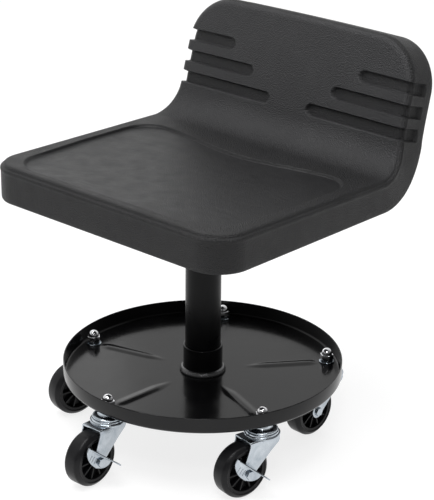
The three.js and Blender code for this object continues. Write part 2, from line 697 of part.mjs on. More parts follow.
function seatPlate() {
  const outline = roundedRect(-PLATE_W / 2, PLATE_W / 2, -PLATE_L / 2, PLATE_L / 2, 12, 12);
  let body = prism(outline, PLATE_LOW_Z, PLATE_TOP_Z, 5);
  const earLow = LEVER_Z - 8;
  for (const y of [-11, 9]) {
    body = body.add(block(LEVER_PIVOT_X - 8, LEVER_PIVOT_X + 8, y, y + 2, earLow, PLATE_LOW_Z + JOIN));
  }
  for (const [x, y] of boltPlaces()) {
    body = body.subtract(disc(BOLT_R + GAP, 0, REACH).translate([x, y, 0]));
  }
  const pivot = disc(2.5 + GAP, -30, 30).rotate([90, 0, 0]).translate([LEVER_PIVOT_X, 0, LEVER_Z]);
  return named('seat_plate', body.subtract(pivot), BLACK_SATIN);
}

function seatSocket() {
  const high = PLATE_LOW_Z - GAP;
  const section = [[GAS_R + GAP, SOCKET_BOTTOM_Z], [SOCKET_R, SOCKET_BOTTOM_Z], [SOCKET_R, high]];
  section.push([GAS_R + GAP, high]);
  const slot = block(0, SOCKET_R + 5, -6, 6, LEVER_Z - 6.5, REACH);
  return named('seat_socket', turned(section).subtract(slot), BLACK_SATIN);
}

function seatBolt([x, y], index) {
  const headLow = PLATE_LOW_Z - GAP - 5;
  let body = prism(hexagon(BOLT_HEAD_R * 2 - 1), headLow, PLATE_LOW_Z - GAP);
  body = body.add(disc(BOLT_R, headLow + 1, SEAT_BOTTOM_Z + 20));
  return named(`seat_bolt_${index + 1}`, body.translate([x, y, 0]), ZINC);
}

function heightLever() {
  const pinTop = GAS_TOP_Z + 3.4 + GAP;
  const tongueTop = PLATE_LOW_Z - GAP;
  let body = block(-5, LEVER_PIVOT_X - 6, -5, 5, pinTop, tongueTop);
  body = body.add(block(LEVER_PIVOT_X - 10, LEVER_PIVOT_X - 6, -5, 5, LEVER_Z - 4, tongueTop));
  body = body.add(block(LEVER_PIVOT_X - 10, LEVER_PIVOT_X + 8, -5, 5, LEVER_Z - 4, LEVER_Z + 4.2));
  const arm = disc(LEVER_R, 0, LEVER_END_X - LEVER_PIVOT_X).rotate([0, 90, 0]);
  body = body.add(arm.translate([LEVER_PIVOT_X + 5, 0, LEVER_Z]));
  const pivot = disc(2.5 + GAP, -30, 30).rotate([90, 0, 0]).translate([LEVER_PIVOT_X, 0, LEVER_Z]);
  return named('height_lever', body.subtract(pivot), ZINC);
}

function leverGrip() {
  const end = LEVER_END_X + 5;
  const bore = LEVER_R + GAP;
  const section = [[0, end + GAP], [bore, end + GAP], [bore, end - GRIP_L], [GRIP_R - 1, end - GRIP_L]];
  section.push([GRIP_R, end - GRIP_L + 1], [GRIP_R, end], [GRIP_R - 2, end + 3], [0, end + 3]);
  return named('lever_grip', turned(section).rotate([0, 90, 0]).translate([0, 0, LEVER_Z]), NYLON);
}

function leverPin() {
  const head = [[0, -14], [4, -14], [4, -11 - GAP], [2.5, -11 - GAP], [2.5, 13.5], [0, 13.5]];
  const body = turned(head, SMALL_ROUND).rotate([-90, 0, 0]);
  return named('lever_pivot_pin', body.translate([LEVER_PIVOT_X, 0, LEVER_Z]), ZINC);
}

// ---- assembly --------------------------------------------------------------------------------------------
const stool = new THREE.Group();
stool.add(tray(), sleeve(), weldBead(), columnTube(), guideBush());
stool.add(thrustBearing(), bumper(), pistonRod(), piston(), rodClip());
stool.add(gasCylinder(), releasePin(), seatShell(), seatPlate(), seatSocket());
stool.add(heightLever(), leverGrip(), leverPin());
stool.add(...boltPlaces().map(seatBolt));
stool.add(...CASTERS.map(caster));

export default stool;
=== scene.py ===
"""Looks for the adjustable swivel stool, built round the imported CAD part."""

import math

import bmesh
import bpy
import numpy as np
from mathutils import Matrix, Vector


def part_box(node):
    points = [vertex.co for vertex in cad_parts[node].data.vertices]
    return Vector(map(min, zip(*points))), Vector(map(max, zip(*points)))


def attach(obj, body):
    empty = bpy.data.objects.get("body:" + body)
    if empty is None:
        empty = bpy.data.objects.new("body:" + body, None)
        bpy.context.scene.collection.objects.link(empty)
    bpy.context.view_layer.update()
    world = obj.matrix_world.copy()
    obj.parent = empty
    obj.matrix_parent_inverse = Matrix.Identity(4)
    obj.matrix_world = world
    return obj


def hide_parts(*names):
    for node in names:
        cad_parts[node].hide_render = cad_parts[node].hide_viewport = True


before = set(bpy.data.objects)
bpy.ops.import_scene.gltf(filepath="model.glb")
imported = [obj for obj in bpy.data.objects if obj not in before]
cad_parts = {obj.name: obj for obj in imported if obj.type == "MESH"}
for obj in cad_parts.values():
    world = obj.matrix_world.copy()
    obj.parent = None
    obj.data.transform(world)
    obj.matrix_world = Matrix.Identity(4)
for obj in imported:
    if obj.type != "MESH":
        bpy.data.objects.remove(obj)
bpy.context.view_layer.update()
MM = 0.001

# ---- camera ----
SEAT_TURN = 42.77  # degrees the seat is turned from the camera's line of sight
CAMERA_BACK = 2291.8  # camera's distance from the column's axis along the floor, mm
CAMERA_UP = 1199.4  # camera's height above the floor, mm
CAMERA_YAW = 0.46  # degrees it looks to the right of the column
CAMERA_PITCH = 21.87  # degrees it looks down
CAMERA_ROLL = 0.61  # degrees its right side is raised
FOCAL_LENGTH = 129.2256  # mm
SENSOR_WIDTH = 36.0  # mm
CLIP_END = 50  # m


def make_camera():
    turn = Matrix.Rotation(math.radians(SEAT_TURN), 3, "Z")
    yaw, pitch = math.radians(CAMERA_YAW), math.radians(CAMERA_PITCH)
    roll = math.radians(CAMERA_ROLL)
    level = math.cos(pitch)
    ahead = turn @ Vector((math.sin(yaw) * level, math.cos(yaw) * level, -math.sin(pitch)))
    right = ahead.cross(Vector((0, 0, 1))).normalized()
    up = right.cross(ahead)
    rolled_right = right * math.cos(roll) + up * math.sin(roll)
    rolled_up = up * math.cos(roll) - right * math.sin(roll)
    place = turn @ Vector((0, -CAMERA_BACK * MM, CAMERA_UP * MM))
    data = bpy.data.cameras.new("camera")
    data.sensor_width = SENSOR_WIDTH
    data.lens = FOCAL_LENGTH
    data.clip_end = CLIP_END
    camera = bpy.data.objects.new("camera", data)
    rotation = Matrix((rolled_right, rolled_up, -ahead)).transposed()
    camera.matrix_world = Matrix.Translation(place) @ rotation.to_4x4()
    bpy.context.collection.objects.link(camera)
    bpy.context.scene.camera = camera


# ---- sizes, in millimetres ----


def box_mm(node):
    low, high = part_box(node)
    return np.array(low) / MM, np.array(high) / MM


SEAT_LOW, SEAT_HIGH = box_mm("seat_shell")
TRAY_LOW, TRAY_HIGH = box_mm("tray")
TUBE_LOW, TUBE_HIGH = box_mm("column_tube")
SLEEVE_LOW, SLEEVE_HIGH = box_mm("column_sleeve")
GAS_LOW, GAS_HIGH = box_mm("gas_cylinder")
SOCKET_LOW, SOCKET_HIGH = box_mm("seat_socket")
PLATE_LOW, PLATE_HIGH = box_mm("seat_plate")
GRIP_LOW, GRIP_HIGH = box_mm("lever_grip")
LEVER_LOW, LEVER_HIGH = box_mm("height_lever")

CASTERS = {  # name: place round the tray, way its axle points, has a brake
    "back": (123.3, -5.2, False),
    "left": (195.3, -11.2, False),
    "front_left": (267.3, 0.8, True),
    "front_right": (339.3, -11.2, True),
    "right": (51.3, -2.2, False),
}
CASTER_CIRCLE = 178.7

# ---- mesh helpers ----
BLUNT = math.radians(165)  # corners blunter than this stay as they are
LONGEST_CUT = 0.48  # share of a side that a rounded corner may use up
TURNED_CORNER = 0.5  # a section's corner radius where its point gives none
BEVEL_STEPS = 2
ON_AXIS = 1e-6
LEVEL = 1e-6  # height difference under which an edge counts as level


class Shape:
    """Vertices in millimetres and faces, which join into one mesh."""

    def __init__(self, verts, faces):
        self.verts = np.array(verts, dtype=float).reshape(-1, 3)
        self.faces = [tuple(f) for f in faces]

    def add(self, other):
        shift = len(self.verts)
        self.verts = np.vstack([self.verts, other.verts])
        self.faces += [tuple(i + shift for i in f) for f in other.faces]
        return self

    def moved(self, matrix):
        m = np.array(matrix)
        return Shape(self.verts @ m[:3, :3].T + m[:3, 3], self.faces)


def make_object(name, shape, material, body, replaces, sharp=38, masks=()):
    """A visual piece that rides a CAD body; edges sharper than the angle in degrees shade as edges."""
    mesh = bpy.data.meshes.new(name)
    mesh.from_pydata((shape.verts * MM).tolist(), [], shape.faces)
    work = bmesh.new()
    work.from_mesh(mesh)
    bmesh.ops.recalc_face_normals(work, faces=work.faces)
    work.to_mesh(mesh)
    work.free()
    mesh.polygons.foreach_set("use_smooth", [True] * len(mesh.polygons))
    mesh.set_sharp_from_angle(angle=math.radians(sharp))
    for mask_name, values in masks:
        layer = mesh.attributes.new(mask_name, "FLOAT", "POINT")
        layer.data.foreach_set("value", values)
    mesh.materials.append(material)
    piece = bpy.data.objects.new(name, mesh)
    bpy.context.collection.objects.link(piece)
    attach(piece, body)
    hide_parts(*replaces)


def rounded(points, radius, steps=3):
    """A closed outline with its corners rounded; a point may carry its own radius as a third value."""
    out = []
    count = len(points)
    for i in range(count):
        here = np.array(points[i][:2], dtype=float)
        before = np.array(points[i - 1][:2], dtype=float)
        after = np.array(points[(i + 1) % count][:2], dtype=float)
        r = points[i][2] if len(points[i]) > 2 else radius
        to_before, to_after = before - here, after - here
        len_b, len_a = np.linalg.norm(to_before), np.linalg.norm(to_after)
        to_before, to_after = to_before / len_b, to_after / len_a
        angle = math.acos(np.clip(to_before @ to_after, -1, 1))
        if r <= 0 or angle > BLUNT:
            out.append(tuple(here))
            continue
        cut = min(r / math.tan(angle / 2), LONGEST_CUT * len_b, LONGEST_CUT * len_a)
        p, q = here + to_before * cut, here + to_after * cut
        for k in range(steps + 1):
            t = k / steps
            out.append(tuple((1 - t) ** 2 * p + 2 * t * (1 - t) * here + t**2 * q))
    return out


def turned(profile, segments, wave=None):
    """A turned solid about Z from a closed (r, z) section, rounded at its corners; wave changes its radii."""
    axis = [i for i, p in enumerate(profile) if p[0] == 0]
    points = [(*p[:2], 0) if i in axis else p for i, p in enumerate(profile)]
    ring = rounded(points, TURNED_CORNER)
    verts, index = [], []
    for r, z in ring:
        if r < ON_AXIS:
            index.append([len(verts)] * segments)
            verts.append((0, 0, z))
            continue
        row = []
        for k in range(segments):
            a = 2 * math.pi * k / segments
            waved = wave(r, a) if wave else r
            row.append(len(verts))
            verts.append((waved * math.cos(a), waved * math.sin(a), z))
        index.append(row)
    faces = []
    for i in range(len(ring)):
        one, two = index[i], index[(i + 1) % len(ring)]
        if one[0] == one[1] and two[0] == two[1]:
            continue
        for k in range(segments):
            n = (k + 1) % segments
            corners = [one[k], one[n], two[n], two[k]]
            face = list(dict.fromkeys(corners))
            if len(face) > 2:
                faces.append(face)
    return Shape(verts, faces)


def slab(outline, low, high, bevel):
    """A flat piece with the given outline between two heights, its cap edges bevelled."""
    work = bmesh.new()
    base = [work.verts.new((x, y, low)) for x, y in outline]
    cap = work.faces.new(base)
    out = bmesh.ops.extrude_face_region(work, geom=[cap])
    lifted = [v for v in out["geom"] if isinstance(v, bmesh.types.BMVert)]
    bmesh.ops.translate(work, verts=lifted, vec=(0, 0, high - low))
    bmesh.ops.recalc_face_normals(work, faces=work.faces)
    edges = [e for e in work.edges if abs(e.verts[0].co.z - e.verts[1].co.z) < LEVEL]
    bmesh.ops.bevel(work, geom=edges, offset=bevel, segments=BEVEL_STEPS, profile=0.5, affect="EDGES")
    work.verts.index_update()
    verts = [tuple(v.co) for v in work.verts]
    faces = [[v.index for v in f.verts] for f in work.faces]
    work.free()
    return Shape(verts, faces)


def brick(x0, x1, y0, y1, z0, z1, bevel):
    return slab([(x0, y0), (x1, y0), (x1, y1), (x0, y1)], z0, z1, bevel)


def strip(one, two):
    """Faces between two closed rows of vertices."""
    count = len(one)
    return [(one[k], one[(k + 1) % count], two[(k + 1) % count], two[k]) for k in range(count)]


def arc(x, y, r, start, end, steps):
    """Points on an arc between two angles in degrees."""
    angles = [math.radians(start + (end - start) * k / steps) for k in range(steps + 1)]
    return [(x + r * math.cos(a), y + r * math.sin(a)) for a in angles]


SIDEWAYS = Matrix.Rotation(math.radians(90), 4, "X")  # a flat piece's Z becomes -Y
ALONG_X = Matrix.Rotation(math.radians(90), 4, "Y")  # a turned piece's Z becomes X


def smooth(t):
    """0 up to t = 0 and 1 from t = 1, with a smooth step between."""
    t = np.clip(t, 0, 1)
    return t * t * (3 - 2 * t)


# ---- materials ----
MIX_COLORS = (6, 7)  # the Mix node's two colour inputs
MIX_RESULT = 2  # and its colour output


class Nodes:
    """Short calls for building a Principled material."""

    def __init__(self, name):
        self.material = bpy.data.materials.new(name)
        self.material.use_nodes = True
        self.tree = self.material.node_tree
        self.shader = self.tree.nodes["Principled BSDF"]
        self.place = self.add("TexCoord").outputs["Object"]

    def link(self, source, target):
        self.tree.links.new(source, target)

    def fill(self, socket, value):
        """Sets a socket to a value, or links it to another node's output."""
        if isinstance(value, bpy.types.NodeSocket):
            self.link(value, socket)
        else:
            socket.default_value = value

    def add(self, kind, **inputs):
        node = self.tree.nodes.new("ShaderNode" + kind)
        for key, value in inputs.items():
            self.fill(node.inputs[key.replace("_", " ")], value)
        return node

    def set(self, **values):
        for key, value in values.items():
            self.shader.inputs[key.replace("_", " ")].default_value = value

    def noise(self, scale, detail=3.0, rough=0.5, distortion=0.0, stretch=None):
        place = self.place
        if stretch:
            place = self.add("Mapping", Scale=stretch, Vector=place).outputs["Vector"]
        node = self.add("TexNoise", Scale=scale, Detail=detail, Roughness=rough, Distortion=distortion)
        self.link(place, node.inputs["Vector"])
        return node.outputs["Fac"]

    def cells(self, scale, smoothness):
        node = self.add("TexVoronoi", Scale=scale, Vector=self.place)
        node.feature = "SMOOTH_F1"
        node.inputs["Smoothness"].default_value = smoothness
        return node.outputs["Distance"]

    def ramp(self, value, low, high, out_low, out_high):
        ends = {"From_Min": low, "From_Max": high, "To_Min": out_low, "To_Max": out_high}
        return self.add("MapRange", Value=value, **ends).outputs["Result"]

    def math(self, operation, a, b):
        node = self.add("Math")
        node.operation = operation
        self.fill(node.inputs[0], a)
        self.fill(node.inputs[1], b)
        return node.outputs[0]

    def mix(self, factor, one, two):
        node = self.add("Mix")
        node.data_type = "RGBA"
        self.link(factor, node.inputs["Factor"])
        for number, value in zip(MIX_COLORS, (one, two)):
            self.fill(node.inputs[number], (*value, 1) if isinstance(value, tuple) else value)
        return node.outputs[MIX_RESULT]

    def attribute(self, name):
        node = self.add("Attribute")
        node.attribute_name = name
        return node.outputs["Fac"]

    def color(self, source):
        self.link(source, self.shader.inputs["Base Color"])

    def roughness(self, source):
        self.link(source, self.shader.inputs["Roughness"])

    def bumps(self, *layers):
        """Each layer is (height source, distance in metres, strength)."""
        normal = None
        for source, distance, strength in layers:
            node = self.add("Bump", Distance=distance, Strength=strength, Height=source)
            if normal is not None:
                self.link(normal, node.inputs["Normal"])
            normal = node.outputs["Normal"]
        self.link(normal, self.shader.inputs["Normal"])


def seat_skin():
    """Pebbled plastic, smoother and faintly wrinkled in the panel; the backrest's face is painted paler as
    painted light, and its grooves keep the darker tone as painted shade.
    """
    n = Nodes("seat_skin")
    n.set(Metallic=0.0, Specular_IOR_Level=0.28)
    panel = n.attribute("panel")
    tone = n.ramp(n.noise(9, 4, 0.55), 0.3, 0.7, 0, 1)
    # lower is the plastic's own tone; face is a paler copy painted onto the backrest's face as painted light
    # by the face mask, which leaves the grooves darker as painted shade
    lower = n.mix(tone, (0.008, 0.008, 0.0086), (0.0115, 0.0115, 0.0122))
    face = n.mix(tone, (0.024, 0.024, 0.0255), (0.030, 0.030, 0.0315))
    n.color(n.mix(n.attribute("face"), lower, face))
    pebbled = n.ramp(panel, 0, 1, 1, 0.22)
    pebbles = n.math("MULTIPLY", n.cells(640, 0.4), pebbled)
    fine = n.noise(1500, 3, 0.65)
    wrinkles = n.math("MULTIPLY", n.noise(34, 5, 0.6, 1.6, (0.45, 1.0, 1.0)), panel)
    creases = n.math("MULTIPLY", n.noise(110, 4, 0.6, 1.0, (0.6, 1.0, 1.0)), panel)
    shine = n.ramp(n.noise(45, 3), 0.3, 0.7, 0.42, 0.52)
    n.roughness(n.math("ADD", shine, n.math("MULTIPLY", panel, -0.04)))
    n.bumps((pebbles, 0.0011, 0.9), (fine, 0.00025, 0.4), (wrinkles, 0.0022, 0.2), (creases, 0.0006, 0.35))
    return n.material


def enamel():
    """Glossy black enamel with faint smears."""
    n = Nodes("tray_enamel")
    n.set(Metallic=0.0, Specular_IOR_Level=0.22, Coat_Weight=0.08, Coat_Roughness=0.06)
    n.color(n.mix(n.ramp(n.noise(14, 4), 0.35, 0.65, 0, 1), (0.004, 0.004, 0.0045), (0.007, 0.007, 0.0075)))
    smears = n.noise(22, 5, 0.65, 0.8)
    n.roughness(n.ramp(smears, 0.35, 0.75, 0.14, 0.24))
    n.bumps((n.noise(420, 2, 0.4), 0.00006, 0.35), (n.noise(30, 2), 0.0008, 0.08))
    return n.material


def weld_black():
    """The weld's bead, bright enough to glint under thin black paint."""
    n = Nodes("weld_black")
    n.set(Metallic=0.75)
    n.color(n.mix(n.noise(160, 3), (0.09, 0.09, 0.09), (0.17, 0.17, 0.175)))
    n.roughness(n.ramp(n.noise(300, 3), 0.3, 0.7, 0.16, 0.28))
    n.bumps((n.noise(500, 3, 0.5), 0.0003, 0.4))
    return n.material


def satin_black():
    n = Nodes("satin_black")
    n.set(Metallic=0.0, Specular_IOR_Level=0.14)
    n.color(n.mix(n.ramp(n.noise(30, 3), 0.3, 0.7, 0, 1), (0.0035, 0.0035, 0.004), (0.006, 0.006, 0.0065)))
    n.roughness(n.ramp(n.noise(60, 4, 0.6), 0.3, 0.7, 0.26, 0.36))
    n.bumps((n.noise(1500, 3, 0.6), 0.00008, 0.4))
    return n.material


def chrome():
    n = Nodes("chrome")
    n.set(Metallic=1.0)
    n.color(n.mix(n.noise(200, 3), (0.78, 0.78, 0.80), (0.88, 0.88, 0.90)))
    n.roughness(n.ramp(n.noise(350, 3, 0.6), 0.3, 0.7, 0.05, 0.13))
    n.bumps((n.noise(900, 2), 0.00003, 0.3))
    return n.material


def zinc():
    """Bluish zinc plate with faint drawing lines."""
    n = Nodes("zinc")
    n.set(Metallic=1.0)
    spangle = n.ramp(n.noise(70, 3, 0.5, 0.4), 0.3, 0.72, 0, 1)
    n.color(n.mix(spangle, (0.40, 0.445, 0.49), (0.54, 0.58, 0.62)))
    drawn = n.noise(240, 3, 0.5, 0.0, (1.0, 1.0, 0.12))
    n.roughness(n.ramp(drawn, 0.3, 0.75, 0.15, 0.25))
    n.bumps((drawn, 0.00005, 0.25), (n.noise(500, 3), 0.00003, 0.3))
    return n.material


def wheel_plastic():
    n = Nodes("wheel_plastic")
    n.set(Metallic=0.0, Specular_IOR_Level=0.22)
    n.color(n.mix(n.ramp(n.noise(55, 4), 0.35, 0.7, 0, 1), (0.005, 0.005, 0.006), (0.009, 0.009, 0.010)))
    n.roughness(n.ramp(n.noise(110, 5, 0.65), 0.3, 0.75, 0.28, 0.46))
    n.bumps((n.noise(1300, 3, 0.55), 0.0001, 0.35))
    return n.material


def plain_dark(name, dark, light, rough_low, rough_high):
    n = Nodes(name)
    n.set(Metallic=0.0)
    n.color(n.mix(n.noise(120, 3), dark, light))
    n.roughness(n.ramp(n.noise(240, 3), 0.3, 0.7, rough_low, rough_high))
    n.bumps((n.noise(1600, 3), 0.00008, 0.4))
    return n.material


SEAT_SKIN = seat_skin()
ENAMEL = enamel()
SATIN = satin_black()
CHROME = chrome()
ZINC = zinc()
WHEEL = wheel_plastic()
WELD = weld_black()
RUBBER = plain_dark("rubber", (0.012, 0.012, 0.012), (0.03, 0.03, 0.03), 0.7, 0.9)
NYLON = plain_dark("nylon", (0.03, 0.03, 0.032), (0.055, 0.055, 0.058), 0.4, 0.55)

# ---- seat ----
INSIDE_CAD = 0.2  # how far the cover's outline stays inside the CAD seat's
SEAT_T = 47.0
BACK_T = 53.6
SEAT_HALF_W = SEAT_HIGH[0] - INSIDE_CAD
SEAT_FRONT_Y = SEAT_LOW[1] + INSIDE_CAD
SEAT_TOP_Z = SEAT_LOW[2] + SEAT_T  # at the bend; the upper face rises from here to the front
TILT = math.radians(0.9)
BEND_Y = 118.0
BEND_R = 50.0
LEAN = math.radians(16)
BEND = math.pi / 2 - LEAN
BACK_LENGTH = 138.0
BACK_CROWN = 2.2  # the backrest's top edge stands this much higher in its middle
BACK_HALF_W = 205.0
BACK_TOP_NARROWER = 3.0
NARROWING_START = 5.0  # length past the flat part at which the seat starts to narrow
BACK_WRAP = 5.0  # how far the backrest's ends come forward
WRAP_PAST_BEND = 40.0  # length past the bend at which they have come all the way
FRONT_CORNER_R = 48.0
BACK_CORNER_R = 67.0
FLAT_LENGTH = BEND_Y - SEAT_FRONT_Y
BEND_LENGTH = BEND_R * BEND
SEAT_LENGTH = FLAT_LENGTH + BEND_LENGTH + BACK_LENGTH
BORDER = 11.0  # width of the strip that carries the edge's section
TOP_EDGE = (  # distance in from the outline, and depth below the upper face
    (9.5, 0.05), (8.2, 0.2), (7.0, 0.55), (6.0, 1.1), (5.2, 1.9), (4.6, 2.9),
    (4.1, 3.9), (3.6, 4.5), (3.0, 4.8), (2.4, 4.9), (1.8, 5.1), (1.1, 5.6),
    (0.5, 6.4), (0.15, 7.3), (0.0, 8.4), (0.1, 9.6), (0.5, 10.6), (0.7, 11.8),
)
FACE_RINGS = 8  # rings of the edge that still belong to the upper face, and so get its painted light
PLAIN_EDGE = (75.0, 55.0)  # length before the top at which the edge turns plain, over what length
PLAIN_EDGE_R = 10.6
SIDE_SHARES = (0.12, 0.25, 0.4, 0.55, 0.6, 0.64, 0.68, 0.72, 0.85)
BOTTOM_EDGE = ((0.8, 3.2), (1.2, 1.8), (1.9, 0.7), (3.2, 0.1), (6.0, 0.0))  # the same, above the underside
PANEL_DEPTH = 3.8
PANEL_DISH = 2.0  # how much deeper the panel is in the middle of its dish
DISH_MIDDLE = 150.0
DISH_HALF = 130.0
PANEL_HALF_W = SEAT_HALF_W - 24.0
PANEL_TAPER = 9.0  # how much narrower the panel's half is in front
PANEL_TAPER_LENGTH = 160.0
PANEL_FRONT = 21.0
PANEL_REAR = 276.0
PANEL_REAR_WAVE = 11.0  # the panel's rear line comes forward by this much in its middle
PANEL_WAVE_HALF = 160.0
PANEL_CORNER = 42.0
PANEL_STEP = 2.4  # width of the step down into the panel
PANEL_FRONT_STEP = 7.0  # and at its front
FRONT_STEP_LENGTH = 40.0  # length over which the front's step turns into the sides' step
FRONT_STEP_SIDE = (8.0, 30.0)  # distance inside the panel's side at which it starts to, over what width
GROOVES = ((76.0, 114.0), (45.0, 73.0), (14.0, 35.0))  # height up the backrest, inner tip from the middle
GROOVE_R = 8.0
GROOVE_DEPTH = 5.4
GROOVE_STEP = 1.4  # width of the step down into a groove
GROOVE_PAINTED_SHADE = 0.7  # share of the backrest's painted light, its paler tone, that its grooves lack, as painted shade
NOTCH_DEPTH = 4.4  # how far a groove draws the seat's side in
NOTCH_ENDS = (26.0, 16.0)  # distance in from the outline at which that ends, over what width
NOTCH_CLEAR = (20.0, 10.0)  # it stays this far from the ends of the seat's length, and fades over this
NOTCH_REACH = 0.62  # share of the side's thickness that a groove wraps round
NOTCH_FADE = 0.1  # and over what share it fades
PAINTED_LIGHT_FROM = 16.0  # length before the bend at which the backrest's painted light, its paler tone, starts


def seat_full_width(s):
    """Half width of the outline without its rounded corners, at developed length s from the front edge."""
    narrowing = smooth((s - FLAT_LENGTH - NARROWING_START) / (BEND_LENGTH + NARROWING_START))
    back = BACK_TOP_NARROWER * np.clip((s - FLAT_LENGTH - BEND_LENGTH) / BACK_LENGTH, 0, 1)
    return SEAT_HALF_W - (SEAT_HALF_W - BACK_HALF_W) * narrowing - back


def corner_loss(s, radius):
    """What a rounded corner takes off the half width at a distance from the end."""
    reach = np.clip(radius - s, 0, radius)
    return radius - np.sqrt(np.maximum(radius**2 - reach**2, 0))


def inner_width(s):
    """Half width of the outline drawn in by the border."""
    loss = corner_loss(s - BORDER, FRONT_CORNER_R - BORDER)
    loss = loss + corner_loss(SEAT_LENGTH - BORDER - s, BACK_CORNER_R - BORDER)
    return seat_full_width(s) - BORDER - loss


def edge_distance(s, x):
    """Distance in from the seat's developed outline."""
    side = seat_full_width(s) - np.abs(x)
    distance = np.minimum(side, np.minimum(s, SEAT_LENGTH - s))
    for from_end, radius in ((s, FRONT_CORNER_R), (SEAT_LENGTH - s, BACK_CORNER_R)):
        inside = (from_end < radius) & (side < radius)
        round_in = radius - np.hypot(radius - from_end, radius - side)
        distance = np.where(inside, round_in, distance)
    return distance


def edge_drop(distance, radius):
    """Depth of a plainly rounded edge at a distance in from the outline."""
    reach = max(radius - distance, 0)
    return radius - math.sqrt(radius**2 - reach**2)


def outward(s, x):
    """Unit direction across the border, away from the seat's middle, as steps in s and x."""
    step = 0.5
    along_s = edge_distance(s - step, x) - edge_distance(s + step, x)
    along_x = edge_distance(s, x - step) - edge_distance(s, x + step)
    size = np.hypot(along_s, along_x)
    return along_s / size, along_x / size


def seat_rise(s):
    """How far the upper face has risen above its height at the bend."""
    return np.clip(FLAT_LENGTH - s, 0, None) * math.tan(TILT)


def seat_thickness(s):
    """Thickness without the rise, growing round the bend."""
    return SEAT_T + (BACK_T - SEAT_T) * np.clip((s - FLAT_LENGTH) / BEND_LENGTH, 0, 1)


def seat_point(s, x, depth):
    """Point at a depth below the upper face as it would be without its rise."""
    a = np.clip((s - FLAT_LENGTH) / BEND_R, 0, BEND)
    past = np.clip(s - FLAT_LENGTH - BEND_LENGTH, 0, None)
    middle = np.clip(1 - (x / BACK_HALF_W) ** 2, 0, 1)
    past = past + BACK_CROWN * middle * (past / BACK_LENGTH) ** 2
    y = SEAT_FRONT_Y + np.minimum(s, FLAT_LENGTH) + BEND_R * np.sin(a) + past * math.sin(LEAN)
    z = SEAT_TOP_Z + BEND_R * (1 - np.cos(a)) + past * math.cos(LEAN)
    wrap = BACK_WRAP * (x / BACK_HALF_W) ** 2 * smooth((s - FLAT_LENGTH) / (BEND_LENGTH + WRAP_PAST_BEND))
    depth = depth - wrap
    return np.stack([x, y + np.sin(a) * depth, z - np.cos(a) * depth], axis=-1)


def panel_amount(s, x):
    """1 inside the seat's dished panel, 0 outside, with a smooth step."""
    wave = PANEL_REAR_WAVE * np.cos(np.pi * np.clip(np.abs(x) / PANEL_WAVE_HALF, 0, 1))
    rear = PANEL_REAR - wave
    half_length = (rear - PANEL_FRONT) / 2
    mid = (rear + PANEL_FRONT) / 2
    half_width = PANEL_HALF_W - PANEL_TAPER * np.clip(1 - s / PANEL_TAPER_LENGTH, 0, 1)
    past_x = np.abs(x) - (half_width - PANEL_CORNER)
    past_s = np.abs(s - mid) - (half_length - PANEL_CORNER)
    in_corner = np.hypot(np.maximum(past_x, 0), np.maximum(past_s, 0))
    outside = in_corner + np.minimum(np.maximum(past_x, past_s), 0) - PANEL_CORNER
    side_start, side_width = FRONT_STEP_SIDE
    front = smooth((PANEL_FRONT + FRONT_STEP_LENGTH - s) / FRONT_STEP_LENGTH)
    front = front * smooth((PANEL_HALF_W - side_start - np.abs(x)) / side_width)
    step = PANEL_STEP + (PANEL_FRONT_STEP - PANEL_STEP) * front
    return smooth(0.5 - outside / step)


def groove_amount(s, x):
    """1 inside the backrest's finger grooves, 0 outside, with a smooth step."""
    up = s - FLAT_LENGTH - BEND_LENGTH
    amount = np.zeros_like(x * up)
    for height, tip in GROOVES:
        along = np.maximum(tip + GROOVE_R - np.abs(x), 0)
        outside = np.hypot(along, up - height) - GROOVE_R
        amount = np.maximum(amount, smooth(0.5 - outside / GROOVE_STEP))
    return amount


def notch_amount(s):
    """1 at the lengths where a finger groove meets the side."""
    up = s - FLAT_LENGTH - BEND_LENGTH
    amount = np.zeros_like(s)
    for height, _ in GROOVES:
        amount = np.maximum(amount, smooth(0.5 - (np.abs(up - height) - GROOVE_R) / GROOVE_STEP))
    return amount


END_STEPS = (0.0, 0.08, 0.3, 0.7, 1.3, 2.1, 3.1, 4.4, 6.0, 8.0, 9.5)  # the end rows, from the end
FRONT_ROW = 1.0  # distances between rows at the panel's front, in the panel, and so on
PANEL_ROW = 2.4
PANEL_REAR_ROW = 0.9
BEND_ROW = 1.9
BACK_ROW = 0.95
PANEL_COLUMN = 2.1  # distances between columns in the panel, over its side's step and outside it
PANEL_SIDE_COLUMN = 0.65
OUTER_COLUMN = 1.2


def evenly(low, high, step):
    """Places from low to high, no further apart than the step."""
    return np.linspace(low, high, int((high - low) / step) + 2).tolist()


def seat_rows():
    """Developed lengths of the mesh's rows, close together where the surface turns sharply."""
    low, high = BORDER, SEAT_LENGTH - BORDER
    rows = [low + e for e in END_STEPS]
    rows += evenly(rows[-1] + 1, PANEL_FRONT + 7, FRONT_ROW)
    rows += evenly(PANEL_FRONT + 9, PANEL_REAR - 14, PANEL_ROW)
    rows += evenly(PANEL_REAR - 13, PANEL_REAR + 13, PANEL_REAR_ROW)
    rows += evenly(PANEL_REAR + 15, FLAT_LENGTH + BEND_LENGTH, BEND_ROW)
    rows += evenly(FLAT_LENGTH + BEND_LENGTH + 1, high - END_STEPS[-1] - 1, BACK_ROW)
    rows += [high - e for e in reversed(END_STEPS)]
    return np.array(rows)


def seat_columns():
    """Places across the seat as shares of the inner half width."""
    half = SEAT_HALF_W - BORDER
    places = evenly(0, PANEL_HALF_W - 5, PANEL_COLUMN)
    places += evenly(PANEL_HALF_W - 4.4, PANEL_HALF_W + 4, PANEL_SIDE_COLUMN)
    places += evenly(PANEL_HALF_W + 5.2, half, OUTER_COLUMN)
    side = np.array(places) / half
    return np.concatenate([-side[:0:-1], side])


